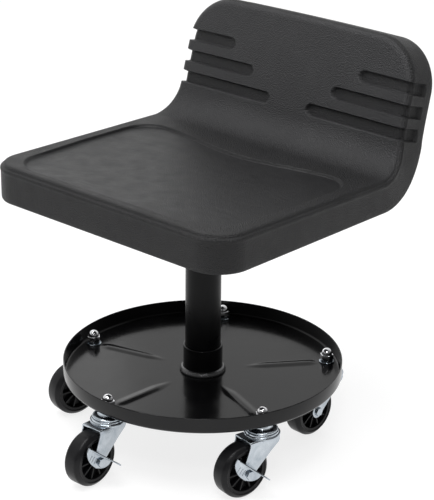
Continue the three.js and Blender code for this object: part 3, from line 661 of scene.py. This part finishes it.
UNDER_INSET = 14.0  # width of the flat rim round the pockets
UNDER_REAR = 12.0  # distance before the bend at which the pockets end
UNDER_DEPTH = 14.0
UNDER_SLOPE = 4.0  # width of the pockets' sloping walls
UNDER_PAD = (102.0, 82.0)  # half size of the flat pad that the steel plate is bolted to
UNDER_RIBS = (-148.0, -105.0, -60.0, 0.0, 60.0, 105.0, 148.0)
UNDER_CROSS_RIBS = (-138.0, -82.0, -45.0, 45.0, 82.0)
UNDER_RIB_HALF = 2.2
UNDER_RIB_SLOPE = 3.0
LEVER_NOTCH = (118.0, 13.0)  # from how far out, and how wide each way, ribs are cut for the lever


def under_amount(s, x):
    """1 where the underside's moulded pockets are, 0 on its rim, ribs and pad."""
    y = SEAT_FRONT_Y + s
    inside = smooth((edge_distance(s, x) - UNDER_INSET) / UNDER_SLOPE)
    inside = inside * smooth((BEND_Y - UNDER_REAR - y) / UNDER_SLOPE)
    pad = np.maximum(np.abs(x) - UNDER_PAD[0], np.abs(y) - UNDER_PAD[1])
    amount = inside * smooth(pad / UNDER_SLOPE)
    cut_from, cut_half = LEVER_NOTCH
    cut = smooth((np.abs(x) - cut_from) / UNDER_SLOPE) * smooth((cut_half - np.abs(y)) / UNDER_SLOPE)
    for at in UNDER_RIBS:
        clear = smooth((np.abs(x - at) - UNDER_RIB_HALF) / UNDER_RIB_SLOPE)
        amount = amount * np.maximum(clear, cut)
    for at in UNDER_CROSS_RIBS:
        amount = amount * smooth((np.abs(y - at) - UNDER_RIB_HALF) / UNDER_RIB_SLOPE)
    return amount


def notched(s, x, distance):
    """Draws the side in where a finger groove wraps round it."""
    end_at, end_width = NOTCH_ENDS
    clear, clear_fade = NOTCH_CLEAR
    near_side = smooth((end_at - distance) / end_width)
    off_ends = smooth((np.minimum(s, SEAT_LENGTH - s) - clear) / clear_fade)
    return x - np.sign(x) * NOTCH_DEPTH * notch_amount(s) * near_side * off_ends


def top_sheet(s, x, edge_depth=0.0):
    """Points of the upper face, with the panel's mask."""
    distance = edge_distance(s, x)
    panel = panel_amount(s, x)
    dish = PANEL_DISH * np.clip(1 - (x / PANEL_HALF_W) ** 2, 0, 1)
    dish = dish * np.clip(1 - ((s - DISH_MIDDLE) / DISH_HALF) ** 2, 0, 1)
    depth = edge_depth - seat_rise(s) + (PANEL_DEPTH + dish) * panel
    depth = depth + GROOVE_DEPTH * groove_amount(s, x)
    return seat_point(s, notched(s, x, distance), depth), panel


def bottom_sheet(s, x):
    return seat_point(s, x, seat_thickness(s) - UNDER_DEPTH * under_amount(s, x))


def border_loop(rows, columns):
    """Grid indices round the sheet's border, in order."""
    loop = [(0, j) for j in range(columns)]
    loop += [(i, columns - 1) for i in range(1, rows)]
    loop += [(rows - 1, j) for j in range(columns - 2, -1, -1)]
    loop += [(i, 0) for i in range(rows - 2, 0, -1)]
    return loop


def edge_rings(s, x):
    """Rings of points outside the border line s, x, over the upper edge, the side and the lower edge."""
    to_s, to_x = outward(s, x)
    plain_from, plain_length = PLAIN_EDGE
    rings = []
    for distance, depth in TOP_EDGE:
        out = BORDER - distance
        ring_s, ring_x = s + to_s * out, x + to_x * out
        soft = smooth((ring_s - SEAT_LENGTH + plain_from) / plain_length)
        plain = edge_drop(distance, PLAIN_EDGE_R)
        ring, _ = top_sheet(ring_s, ring_x, depth + (plain - depth) * soft)
        rings.append(ring)
    inset, side_top = TOP_EDGE[-1]
    ring_s, ring_x = s + to_s * (BORDER - inset), x + to_x * (BORDER - inset)
    top = side_top - seat_rise(ring_s)
    low = seat_thickness(ring_s) - BOTTOM_EDGE[0][1]
    for share in SIDE_SHARES:
        wrap = 1 - smooth((share - NOTCH_REACH) / NOTCH_FADE + 0.5)
        across = ring_x + (notched(ring_s, ring_x, 0) - ring_x) * wrap
        rings.append(seat_point(ring_s, across, top + (low - top) * share))
    for distance, height in BOTTOM_EDGE:
        out = BORDER - distance
        ring_s, ring_x = s + to_s * out, x + to_x * out
        rings.append(seat_point(ring_s, ring_x, seat_thickness(ring_s) - height))
    return rings


def sheet_faces(height, width):
    """Faces of the upper sheet's grid and of the lower sheet's, whose vertices come after it."""
    count = height * width
    faces = []
    for i in range(height - 1):
        for j in range(width - 1):
            here = i * width + j
            corners = (here, here + 1, here + 1 + width, here + width)
            faces.append(corners)
            faces.append(tuple(count + k for k in reversed(corners)))
    return faces


def painted_light_amount(s, x):
    """1 on the backrest's face, where painted light makes it paler than the seat, less in its grooves as
    painted shade, and 0 elsewhere.
    """
    return smooth((s - FLAT_LENGTH + PAINTED_LIGHT_FROM) / BEND_LENGTH) * (1 - GROOVE_PAINTED_SHADE * groove_amount(s, x))


def make_seat():
    """Upper and lower sheets of one grid, joined by the edge's rings."""
    rows, columns = seat_rows(), seat_columns()
    s = np.repeat(rows[:, None], len(columns), axis=1)
    x = inner_width(s) * columns[None, :]
    top, panel = top_sheet(s, x)
    height, width = s.shape
    count = height * width
    verts = [top.reshape(-1, 3), bottom_sheet(s, x).reshape(-1, 3)]
    faces = sheet_faces(height, width)
    loop = border_loop(height, width)
    rings = edge_rings(np.array([s[i, j] for i, j in loop]), np.array([x[i, j] for i, j in loop]))
    previous = [i * width + j for i, j in loop]
    for k, ring in enumerate(rings):
        verts.append(ring)
        start = 2 * count + k * len(loop)
        current = list(range(start, start + len(loop)))
        faces += strip(previous, current)
        previous = current
    faces += strip(previous, [count + i * width + j for i, j in loop])
    total = 2 * count + len(rings) * len(loop)
    # the face mask carries painted light: a paler tone on the backrest's face, with less in its grooves as
    # painted shade
    in_panel, painted_light_mask = np.zeros(total), np.zeros(total)
    in_panel[:count] = panel.reshape(-1)
    painted_lighting = painted_light_amount(s, x)
    painted_light_mask[:count] = painted_lighting.reshape(-1)
    painted_light_mask[2 * count:2 * count + FACE_RINGS * len(loop)] = [painted_lighting[i, j] for i, j in loop] * FACE_RINGS
    shape = Shape(np.vstack(verts), faces)
    masks = (("panel", in_panel), ("face", painted_light_mask))
    make_object("seat_cover", shape, SEAT_SKIN, "seat", ("seat_shell",), 60, masks)


# ---- tray ----
TRAY_R = TRAY_HIGH[0]
TRAY_RIM_Z = TRAY_HIGH[2]
TRAY_SHEET = 1.8
TRAY_FLOOR_Z = TRAY_LOW[2] + TRAY_SHEET
TRAY_CORNER_R = 5.0
TRAY_HOLE_R = 8.0
TRAY_SEGMENTS = 720
TRAY_FIRST_RING = 14.0  # radius of the first ring of the floor after its hole
TRAY_RING_STEP = 3.0
ARC_STEPS = 6
RIB_INNER = 58.0
RIB_OUTER = 167.0
RIB_HALF = 11.0
RIB_HEIGHT = 1.6
RIB_INNER_FADE = 34.0  # lengths over which a rib sinks into the floor at its ends
RIB_OUTER_FADE = 14.0
RIB_END_SHARE = 0.45  # share of its width that a rib has at its ends


def tray_rib_height(r, angle):
    """How far the pressed ribs lift the floor."""
    height = np.zeros_like(r)
    for at, _, _ in CASTERS.values():
        turn = angle - math.radians(at)
        along = r * np.cos(turn)
        across = np.abs(r * np.sin(turn))
        taper = smooth((along - RIB_INNER) / RIB_INNER_FADE) * smooth((RIB_OUTER - along) / RIB_OUTER_FADE)
        half = RIB_HALF * (RIB_END_SHARE + (1 - RIB_END_SHARE) * taper)
        soft = smooth(1 - across / half)
        height = np.maximum(height, RIB_HEIGHT * taper * soft)
    return height


def tray_arc(*values):
    """Points of the tray's section on an arc, which don't follow the ribs."""
    return [(r, z, 0) for r, z in arc(*values, ARC_STEPS)]


def tray_section():
    """(r, z, follows the ribs) from the centre hole, out over the floor, up the rim and back underneath."""
    low = TRAY_FLOOR_Z - TRAY_SHEET
    floor_r = TRAY_R - TRAY_CORNER_R
    half = TRAY_SHEET / 2
    section = [(TRAY_HOLE_R, TRAY_FLOOR_Z, 1)]
    section += [(r, TRAY_FLOOR_Z, 1) for r in np.arange(TRAY_FIRST_RING, floor_r - 1, TRAY_RING_STEP)]
    section += tray_arc(floor_r, low + TRAY_CORNER_R, TRAY_CORNER_R - TRAY_SHEET, -90, 0)
    section += tray_arc(TRAY_R - half, TRAY_RIM_Z - half, half, 180, 0)
    section += tray_arc(floor_r, low + TRAY_CORNER_R, TRAY_CORNER_R, 0, -90)
    section += [(r, low, 1) for r in np.arange(floor_r - TRAY_RING_STEP, TRAY_FIRST_RING, -TRAY_RING_STEP)]
    section.append((TRAY_HOLE_R, low, 1))
    return section


def make_tray():
    angles = np.linspace(0, 2 * math.pi, TRAY_SEGMENTS, endpoint=False)
    section = tray_section()
    rings = []
    for r, z, ribbed in section:
        radius = np.full(TRAY_SEGMENTS, r)
        lift = tray_rib_height(radius, angles) if ribbed else 0
        height = np.zeros(TRAY_SEGMENTS) + z + lift
        rings.append(np.stack([r * np.cos(angles), r * np.sin(angles), height], axis=-1))
    faces = []
    for i in range(len(section)):
        one = [i * TRAY_SEGMENTS + k for k in range(TRAY_SEGMENTS)]
        after = (i + 1) % len(section)
        two = [after * TRAY_SEGMENTS + k for k in range(TRAY_SEGMENTS)]
        faces += strip(one, two)
    shape = Shape(np.vstack(rings), faces)
    make_object("tray_pan", shape, ENAMEL, "base", ("tray",), 30)


# ---- column ----
SLEEVE_BORE_R = 25.2
TUBE_BORE_R = 23.4
TUBE_FLOOR_T = 4.0
BUSH_BORE_R = 14.3
BUSH_LIP = 2.4
BOLT_HOLE_R = 4.3
GAS_R = 14.0
GAS_BORE_R = 12.0
WELD_INNER_R = 28.1
WELD_WIDTH = 4.6
WELD_BEADS = 46  # ripples round the bead
WELD_RIPPLE = 0.9
WELD_WANDER = (0.35, 7, 1.3)  # size, waves round the bead and phase of its slower unevenness
WELD_REACH = 0.55
WELD_PULL_IN = 0.6


def make_sleeve():
    outer, low, top = SLEEVE_HIGH[0], SLEEVE_LOW[2], SLEEVE_HIGH[2]
    section = [(SLEEVE_BORE_R, low), (outer, low), (outer, top, 1.3), (SLEEVE_BORE_R, top, 0.4)]
    make_object("sleeve", turned(section, 96), ENAMEL, "base", ("column_sleeve",))


def weld_wave(r, angle):
    """Moves the bead's outer points in and out as its ripples do."""
    size, waves, phase = WELD_WANDER
    ripple = abs(math.sin(WELD_BEADS * angle / 2)) * WELD_RIPPLE + size * math.sin(waves * angle + phase)
    reach = (r - WELD_INNER_R) / WELD_WIDTH
    return r + ripple * WELD_REACH * reach - WELD_PULL_IN * reach


def make_weld():
    low = box_mm("sleeve_weld")[0][2]
    section = [(WELD_INNER_R, low, 0), (32.6, low, 0.6), (32.7, low + 2.2, 1.6), (30.8, low + 5.6, 2.0)]
    section += [(WELD_INNER_R, low + 6.9, 0.2)]
    shape = turned(section, 368, wave=weld_wave)
    make_object("weld_bead", shape, WELD, "base", ("sleeve_weld",), 70)


def make_tube():
    outer, low, top = TUBE_HIGH[0], TUBE_LOW[2], TUBE_HIGH[2]
    floor = low + TUBE_FLOOR_T
    section = [(BOLT_HOLE_R, low, 0), (outer, low, 1), (outer, top, 1.4), (TUBE_BORE_R, top, 0.3)]
    section += [(TUBE_BORE_R, floor, 0), (BOLT_HOLE_R, floor, 0)]
    make_object("tube", turned(section, 96), SATIN, "base", ("column_tube",))


def make_bush():
    low, high = box_mm("guide_bush")
    top = high[2]
    lip = top - BUSH_LIP
    section = [(BUSH_BORE_R, low[2], 0.3), (23.0, low[2], 0.5), (23.0, lip, 0), (24.1, lip, 0.3)]
    section += [(23.2, top, 0.8), (BUSH_BORE_R, top, 0.5)]
    make_object("bush", turned(section, 72), NYLON, "base", ("guide_bush",))


def make_gas_cylinder():
    low, high = GAS_LOW[2], GAS_HIGH[2]
    roof, floor = high - 16, low + 5
    section = [(BOLT_HOLE_R, low, 0.3), (GAS_R, low, 1.2), (GAS_R, SOCKET_LOW[2], 0.5), (13.0, high, 0.8)]
    section += [(4.8, high, 0.3), (4.8, roof, 0), (GAS_BORE_R, roof, 0.5), (GAS_BORE_R, floor, 0.5)]
    section += [(BOLT_HOLE_R, floor, 0)]
    make_object("gas_tube", turned(section, 72), CHROME, "seat", ("gas_cylinder",))


def make_socket():
    low, high = SOCKET_LOW[2], SOCKET_HIGH[2]
    bore, outer = GAS_R + 0.3, 18.9
    section = [(bore, low, 0.4), (outer, low, 0.8), (outer, high - 2, 0.5), (outer, high, 0), (bore, high, 0)]
    make_object("socket", turned(section, 72), SATIN, "seat", ("seat_socket",))


# ---- seat plate and lever ----
PLATE_SHEET = 3.0
EAR_T = 2.0
EARS = (-11.0, 9.0)  # where each ear that holds the lever starts, across the lever
EAR_X = (22.0, 38.0)
SWAGES = (-70.0, 70.0)  # the pressed ribs of the plate
SWAGE_HALF = (3.0, 52.0)
LEVER_HALF = 5.0
LEVER_R = 4.0
LEVER_REACH = (20.0, 24.0, 38.0)  # ends of the tongue's step and of the block at the pivot
ROD_X = (35.0, 154.0)


def make_seat_plate():
    low, high = PLATE_LOW, PLATE_HIGH
    flat_low = high[2] - PLATE_SHEET
    outline = rounded([(low[0], low[1]), (high[0], low[1]), (high[0], high[1]), (low[0], high[1])], 12, 6)
    shape = slab(outline, flat_low, high[2], 0.5)
    near, far = EAR_X
    ear_top = flat_low + 1
    ear = rounded([(near, low[2], 7.5), (far, low[2], 7.5), (far, ear_top, 0), (near, ear_top, 0)], 7, 5)
    for y in EARS:
        shape.add(slab(ear, -y - EAR_T, -y, 0.4).moved(SIDEWAYS))
    half_x, half_y = SWAGE_HALF
    for x in SWAGES:
        left, right = x - half_x, x + half_x
        swage = rounded([(left, -half_y), (right, -half_y), (right, half_y), (left, half_y)], 2.9, 5)
        shape.add(slab(swage, flat_low - 1.6, flat_low + 0.5, 0.8))
    make_object("mount_plate", shape, SATIN, "seat", ("seat_plate",))


def make_lever():
    z = (GRIP_LOW[2] + GRIP_HIGH[2]) / 2
    top = LEVER_HIGH[2]
    in_line = Matrix.Translation((0, 0, z)) @ ALONG_X
    step, step_end, block_end = LEVER_REACH
    wide = (-LEVER_HALF, LEVER_HALF)
    shape = brick(LEVER_LOW[0], step_end, *wide, top - 3.2, top - 0.05, 0.5)
    shape.add(brick(step, step_end, *wide, z - LEVER_R, top - 0.2, 0.5))
    shape.add(brick(step, block_end, *wide, z - LEVER_R, z + LEVER_R + 0.2, 0.8))
    start, end = ROD_X
    rod = turned([(0, start), (LEVER_R, start, 0.5), (LEVER_R, end, 0.5), (0, end)], 40)
    shape.add(rod.moved(in_line))
    make_object("lever_arm", shape, ZINC, "lever", ("height_lever",))
    bore, start, end = LEVER_R + 0.3, GRIP_LOW[0], GRIP_HIGH[0]
    section = [(bore, start, 0.3), (7.2, start, 1.5), (7.8, start + 8, 3), (6.9, start + 22, 8)]
    section += [(7.9, end - 6, 3), (6.2, end, 2), (0, end), (0, end - 3), (bore, end - 3, 0)]
    make_object("grip", turned(section, 48).moved(in_line), NYLON, "lever", ("lever_grip",))


# ---- casters ----
NUT_FLATS = 16.9
NUT_H = 8.0
DOME_R = 7.7
DOME_H = 7.15
HEAD_FLATS = 11.2  # the axle's head and nut
HEAD_H = 4.0
WHEEL_R = 38.1
WHEEL_HALF = 13.8
TRAIL = 35.5
LEG_INNER = 15.3
LEG_T = 2.2
LEG_OUTER = LEG_INNER + LEG_T
LEG_END_R = 10.0
LEG_END_ARC = (203, 377)  # degrees of the leg's round end
PLATE_Z = 79.5
PLATE_T = 2.5
PLATE_FRONT = 32.0
PLATE_REAR = -17.0
RACE_TOP = 87.3
CUP_LOW = 87.6
STEM_R = 5.0
WASHER_BORE_R = 5.4
COLLAR_TOP = TRAY_FLOOR_Z - TRAY_SHEET - 0.3
WHEEL_RIBS = 10
WHEEL_RIB_T = 2.2
HUB_HALF = 14.5
AXLE_R = 4.0
AXLE_BORE_R = 4.3
SIDE_EDGE = 2.6  # rounding where a fork's plate turns down into its legs
LEG_INSET = 0.02  # keeps the legs' faces off the saddle's
BOSS_SUNK = 0.42  # how deep the bosses start inside the legs
BRAKE_TILT = 40.0
CHORD = (-20.0, 33.0)  # ends of the brake plate's straight upper edge, from the axle
CHORD_UP = 7.4
BRAKE_T = 2.0
BRAKE_DEPTH = 17.0
BRAKE_RIBS = (10.0, 15.5, 21.0)  # plain pressed ribs on the brake plate
PEDAL_REACH = 42.0
AT_AXLE = Matrix.Translation((TRAIL, 0, WHEEL_R))
FACING_FRONT = Matrix(((0, 0, 1, 0), (1, 0, 0, 0), (0, 1, 0, 0), (0, 0, 0, 1)))  # flat piece's Z to X


def caster_place(name):
    at, axle, _ = CASTERS[name]
    a = math.radians(at)
    place = Matrix.Translation((CASTER_CIRCLE * math.cos(a), CASTER_CIRCLE * math.sin(a), 0))
    return place @ Matrix.Rotation(math.radians(axle - 90), 4, "Z")


def wheel_shape():
    w = WHEEL_HALF
    half = [(WHEEL_R, w - 4.5, 4.2), (WHEEL_R - 5.2, w, 2.6), (31.6, w, 0.7), (30.8, w - 1.1, 0.6)]
    half += [(27.0, w - 1.1, 0.8), (26.2, 4.6, 2.0), (10.2, 4.6, 1.4), (9.2, w - 2.2, 0.8)]
    half += [(7.6, w - 2.2, 0.4), (7.2, HUB_HALF, 0.5), (AXLE_BORE_R, HUB_HALF, 0.3)]
    lower = [(r, -z, c) for r, z, c in reversed(half)]
    shape = turned(half + lower, 112)
    for k in range(WHEEL_RIBS):
        turn = Matrix.Rotation(2 * math.pi * k / WHEEL_RIBS, 4, "Z")
        for low, high in ((4.0, w - 2.6), (2.6 - w, -4.0)):
            shape.add(brick(9.4, 26.6, -WHEEL_RIB_T / 2, WHEEL_RIB_T / 2, low, high, 0.35).moved(turn))
    return shape.moved(AT_AXLE @ SIDEWAYS)


def leg_outline():
    """A fork's leg from the side: X along, Z up."""
    points = [(PLATE_REAR, PLATE_Z - 4), (PLATE_REAR + 1.5, 71.5, 3), (-3, 61.5, 8), (10.5, 49, 12)]
    points += [(x, z, 0) for x, z in arc(TRAIL, WHEEL_R, LEG_END_R, *LEG_END_ARC, 18)]
    points += [(PLATE_FRONT, PLATE_Z - 5, 2), (PLATE_FRONT, PLATE_Z - 4, 0)]
    return rounded(points, 0, 5)


def saddle_outline():
    """The fork's folded top seen from the front: Y across, Z up."""
    top, low = PLATE_Z + PLATE_T, PLATE_Z - 5
    inner, outer = LEG_INNER, LEG_OUTER
    points = [(-outer, low, 0), (-inner, low, 0), (-inner, PLATE_Z, 0.8), (inner, PLATE_Z, 0.8)]
    points += [(inner, low, 0), (outer, low, 0), (outer, top, SIDE_EDGE), (-outer, top, SIDE_EDGE)]
    return rounded(points, 0, 5)


def fork_shape():
    """Folded saddle, two legs, a boss round the axle on each and the ring of the ball race, as one shape."""
    shape = slab(saddle_outline(), PLATE_REAR, PLATE_FRONT, 0.45).moved(FACING_FRONT)
    for low in (LEG_INNER, -LEG_OUTER):
        leg = slab(leg_outline(), -low - LEG_T + LEG_INSET, -low - LEG_INSET, 0.5)
        shape.add(leg.moved(SIDEWAYS))
    for sign in (1, -1):
        boss = turned([(4.2, 0), (8.2, 0, 0), (7.6, 0.7, 0.5), (4.2, 0.7, 0.2)], 40)
        flip = Matrix.Rotation(math.radians(-90 * sign), 4, "X")
        place = Matrix.Translation((TRAIL, sign * (LEG_OUTER - BOSS_SUNK), WHEEL_R))
        shape.add(boss.moved(place @ flip))
    top = PLATE_Z + PLATE_T
    race = [(5.4, top - 1), (24.2, top - 1, 0), (24.9, top + 0.9, 1.1), (24.2, top + 2.6, 1.0)]
    race += [(22.6, top + 2.8, 0.5), (22.2, RACE_TOP, 0.9), (19.5, RACE_TOP, 0.6)]
    race += [(18.8, RACE_TOP - 1.0, 0.5), (5.4, RACE_TOP - 1.0, 0.2)]
    shape.add(turned(race, 96))
    return shape


def stem_shape():
    """Rivet head, stem, pressed cup and collar, turned as one piece."""
    head_low, head_top, stem_top = PLATE_Z - 5, PLATE_Z - 0.3, TRAY_FLOOR_Z + 12.6
    section = [(0, head_low), (8.6, head_low, 1), (8.6, head_top, 0.4), (STEM_R, head_top, 0)]
    section += [(STEM_R, CUP_LOW, 0), (21.2, CUP_LOW, 0.6), (21.4, CUP_LOW + 2.2, 1.4)]
    section += [(18.6, CUP_LOW + 3.6, 2.0), (14.4, CUP_LOW + 4.2, 1.2), (13.4, CUP_LOW + 5.4, 0.6)]
    section += [(12.8, COLLAR_TOP, 0.6), (STEM_R, COLLAR_TOP, 0), (STEM_R, stem_top, 0.8), (0, stem_top)]
    return turned(section, 84)


def hex_head(flats, low, high, chamfer=0.9):
    """A hexagon with its corners turned down to a cone at the top, as on a real nut."""
    corner, middle = flats / math.sqrt(3), flats / 2
    outline = rounded(arc(0, 0, corner, 0, 300, 5), 0.35)
    shape = slab(outline, low, high, 0.3)
    reach = np.hypot(shape.verts[:, 0], shape.verts[:, 1])
    over = np.clip((reach - middle) / (corner - middle), 0, 1)
    shape.verts[:, 2] -= chamfer * over * (shape.verts[:, 2] > (low + high) / 2)
    return shape


def acorn_shape(low):
    shape = hex_head(NUT_FLATS, low, low + NUT_H)
    start, steps = low + NUT_H + 1, 12
    dome = [(0, low + 5), (DOME_R, low + 5, 0), (DOME_R, start, 0)]
    for k in range(1, steps):
        a = math.pi / 2 * k / steps
        dome.append((DOME_R * math.cos(a), start + DOME_H * math.sin(a), 0))
    dome.append((0, start + DOME_H, 0))
    return shape.add(turned(dome, 64))


def spring_washer_shape(low):
    """A split ring whose ends stand a little apart in height."""
    inner, outer, thick = WASHER_BORE_R, 8.9, 1.9
    steps, rise = 60, 0.45
    first, turn = 6, 348
    rows = []
    for k in range(steps + 1):
        a = math.radians(first + turn * k / steps)
        z = low + rise * k / steps
        for r, up in ((inner, 0), (outer, 0), (outer, thick), (inner, thick)):
            rows.append((r * math.cos(a), r * math.sin(a), z + up))
    faces = [(0, 1, 2, 3), tuple(4 * steps + i for i in (3, 2, 1, 0))]
    for k in range(steps):
        one = [4 * k + i for i in range(4)]
        faces += strip(one, [i + 4 for i in one])
    return Shape(rows, faces)


def washer_shape(low):
    inner, outer, top = WASHER_BORE_R, 10.9, low + 1.6
    return turned([(inner, low, 0.2), (outer, low, 0.3), (outer, top, 0.5), (inner, top, 0.2)], 64)


def axle_shape(brake):
    """Rod with a hexagon at each end; the one on the brake's side stands outside its plate."""
    near = LEG_OUTER + 0.35
    far = near + 2.6 if brake else near
    shape = turned([(0, -near - 3), (AXLE_R, -near - 3, 0), (AXLE_R, far + 3, 0), (0, far + 3)], 40)
    head = hex_head(HEAD_FLATS, 0, HEAD_H, 0.7)
    shape.add(head.moved(Matrix.Translation((0, 0, far))))
    nut = head.moved(Matrix.Rotation(math.pi, 4, "X"))
    shape.add(nut.moved(Matrix.Translation((0, 0, -near))))
    across = Matrix.Rotation(math.radians(-90), 4, "X")
    return shape.moved(AT_AXLE @ across)


def brake_shape():
    """Half an oval beside the wheel, with a pedal folded out along its straight edge."""
    low, high = CHORD
    mid, half = (low + high) / 2, (high - low) / 2
    top = CHORD_UP + BRAKE_T
    angles = np.linspace(math.pi, 2 * math.pi, 41)
    points = [(mid + half * math.cos(a), CHORD_UP + BRAKE_DEPTH * math.sin(a)) for a in angles]
    points += [(high, top), (low, top)]
    near = LEG_OUTER + 0.6
    plate = slab(points, -near - BRAKE_T, -near, 0.35).moved(SIDEWAYS)
    end = PEDAL_REACH
    pedal = [(low, near, 0), (high, near, 0.8), (high - 9, near + 4, 3), (high - 24, near + 12, 6)]
    pedal += [(low + 18, end - 4, 4), (low + 9, end - 0.3, 3), (low + 2, end - 1.5, 2.5), (low, end - 5, 2)]
    plate.add(slab(rounded(pedal, 1, 4), CHORD_UP, top, 0.4))
    for at in BRAKE_RIBS:
        rib = rounded([(at - 0.9, -6.5), (at + 0.9, -6.5), (at + 0.9, 2.5), (at - 0.9, 2.5)], 0.85, 3)
        plate.add(slab(rib, -near - BRAKE_T - 0.5, -near - BRAKE_T + 0.3, 0.25).moved(SIDEWAYS))
    return plate.moved(AT_AXLE @ Matrix.Rotation(math.radians(-BRAKE_TILT), 4, "Y"))


def make_casters():
    floor = TRAY_FLOOR_Z + 0.3
    parts = {  # what it is: shape, material, slot, and the caster's body it rides
        "stem": (stem_shape(), ZINC, "zinc", None),
        "washer": (washer_shape(floor), ZINC, "zinc", None),
        "spring_washer": (spring_washer_shape(floor + 1.9), ZINC, "zinc", None),
        "acorn_nut": (acorn_shape(floor + 4.6), CHROME, "chrome", None),
        "fork": (fork_shape(), ZINC, "zinc", "fork"),
    }
    wheel = wheel_shape()
    for name, (_, _, brake) in CASTERS.items():
        mine = {**parts, "axle": (axle_shape(brake), ZINC, "zinc", "fork")}
        mine["wheel"] = (wheel, WHEEL, "wheel_plastic", "wheel")
        if brake:
            mine["brake"] = (brake_shape(), ZINC, "zinc", "brake")
        for part, (shape, material, slot, rides) in mine.items():
            node = f"{name}_{part}"
            body = f"{name}_{rides}" if rides else "base"
            make_object(f"{node}_fine", shape.moved(caster_place(name)), material, body, (node,), 34)


# ---- CAD pieces that stay ----
KEPT = {
    "thrust_bearing": ZINC, "rod_clip": ZINC, "release_pin": ZINC, "lever_pivot_pin": ZINC,
    "rubber_bumper": RUBBER, "piston_rod": CHROME, "piston": NYLON,
    **{f"seat_bolt_{k}": ZINC for k in (1, 2, 3, 4)},
}


def finish_kept_nodes():
    for name, material in KEPT.items():
        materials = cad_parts[name].data.materials
        materials.clear()
        materials.append(material)


# ---- stage ----
FLOOR_GLOW = 0.8
FLOOR_HALF = 12  # m
FLOOR_DROP = 0.0004  # m, so that the wheels' lowest points stay in sight
BRIGHT_SIDE = (-0.88, 0.46, 0.2)
BRIGHT_RANGE = (-0.5, 0.9)  # cosines from the bright side between which the room goes from dim to bright
ROOM_LEVELS = (0.16, 0.86)
LIGHT_TARGET = (0, 0, 0.3)
LIGHTS = {  # place in metres, width and height, watts
    "top_softbox": ((0.1, -0.6, 2.5), (1.9, 1.9), 56),
    "left_softbox": ((-2.1, 1.1, 1.2), (1.2, 1.4), 2.4),
    "glint": ((1.25, -1.35, 1.9), (0.35, 0.35), 9),
}


def make_floor():
    mesh = bpy.data.meshes.new("floor")
    corners = [(x * FLOOR_HALF, y * FLOOR_HALF, 0) for x, y in ((-1, -1), (1, -1), (1, 1), (-1, 1))]
    mesh.from_pydata(corners, [], [(0, 1, 2, 3)])
    floor = bpy.data.objects.new("floor", mesh)
    floor.location.z = -FLOOR_DROP
    bpy.context.collection.objects.link(floor)
    n = Nodes("floor")
    n.set(Roughness=0.9, Specular_IOR_Level=0.1, Emission_Color=(1, 1, 1, 1), Emission_Strength=FLOOR_GLOW)
    n.color(n.mix(n.noise(3, 3), (0.29, 0.29, 0.29), (0.31, 0.31, 0.31)))
    mesh.materials.append(n.material)


def area_light(name, place, size, power):
    data = bpy.data.lights.new(name, "AREA")
    data.shape = "RECTANGLE"
    data.size, data.size_y = size
    data.energy = power
    light = bpy.data.objects.new(name, data)
    light.location = place
    light.rotation_mode = "QUATERNION"
    light.rotation_quaternion = (Vector(LIGHT_TARGET) - Vector(place)).to_track_quat("-Z", "Y")
    bpy.context.collection.objects.link(light)


def make_world():
    """A pale room that is bright towards -X and +Y and dim towards +X and -Y."""
    world = bpy.data.worlds.new("studio")
    world.use_nodes = True
    tree = world.node_tree
    coords = tree.nodes.new("ShaderNodeTexCoord")
    dot = tree.nodes.new("ShaderNodeVectorMath")
    dot.operation = "DOT_PRODUCT"
    dot.inputs[1].default_value = Vector(BRIGHT_SIDE).normalized()
    tree.links.new(coords.outputs["Generated"], dot.inputs[0])
    level = tree.nodes.new("ShaderNodeMapRange")
    level.interpolation_type = "SMOOTHSTEP"
    ends = ("From Min", "From Max", "To Min", "To Max")
    for socket, number in zip(ends, (*BRIGHT_RANGE, *ROOM_LEVELS)):
        level.inputs[socket].default_value = number
    tree.links.new(dot.outputs["Value"], level.inputs["Value"])
    background = tree.nodes["Background"]
    background.inputs["Color"].default_value = (1, 1, 1, 1)
    tree.links.new(level.outputs["Result"], background.inputs["Strength"])
    bpy.context.scene.world = world


def make_lights():
    make_world()
    for name, (place, size, power) in LIGHTS.items():
        area_light(name, place, size, power)
    bpy.context.scene.view_settings.view_transform = "Standard"


make_camera()
make_seat()
make_tray()
make_sleeve()
make_weld()
make_tube()
make_bush()
make_gas_cylinder()
make_socket()
make_seat_plate()
make_lever()
make_casters()
finish_kept_nodes()
make_floor()
make_lights()
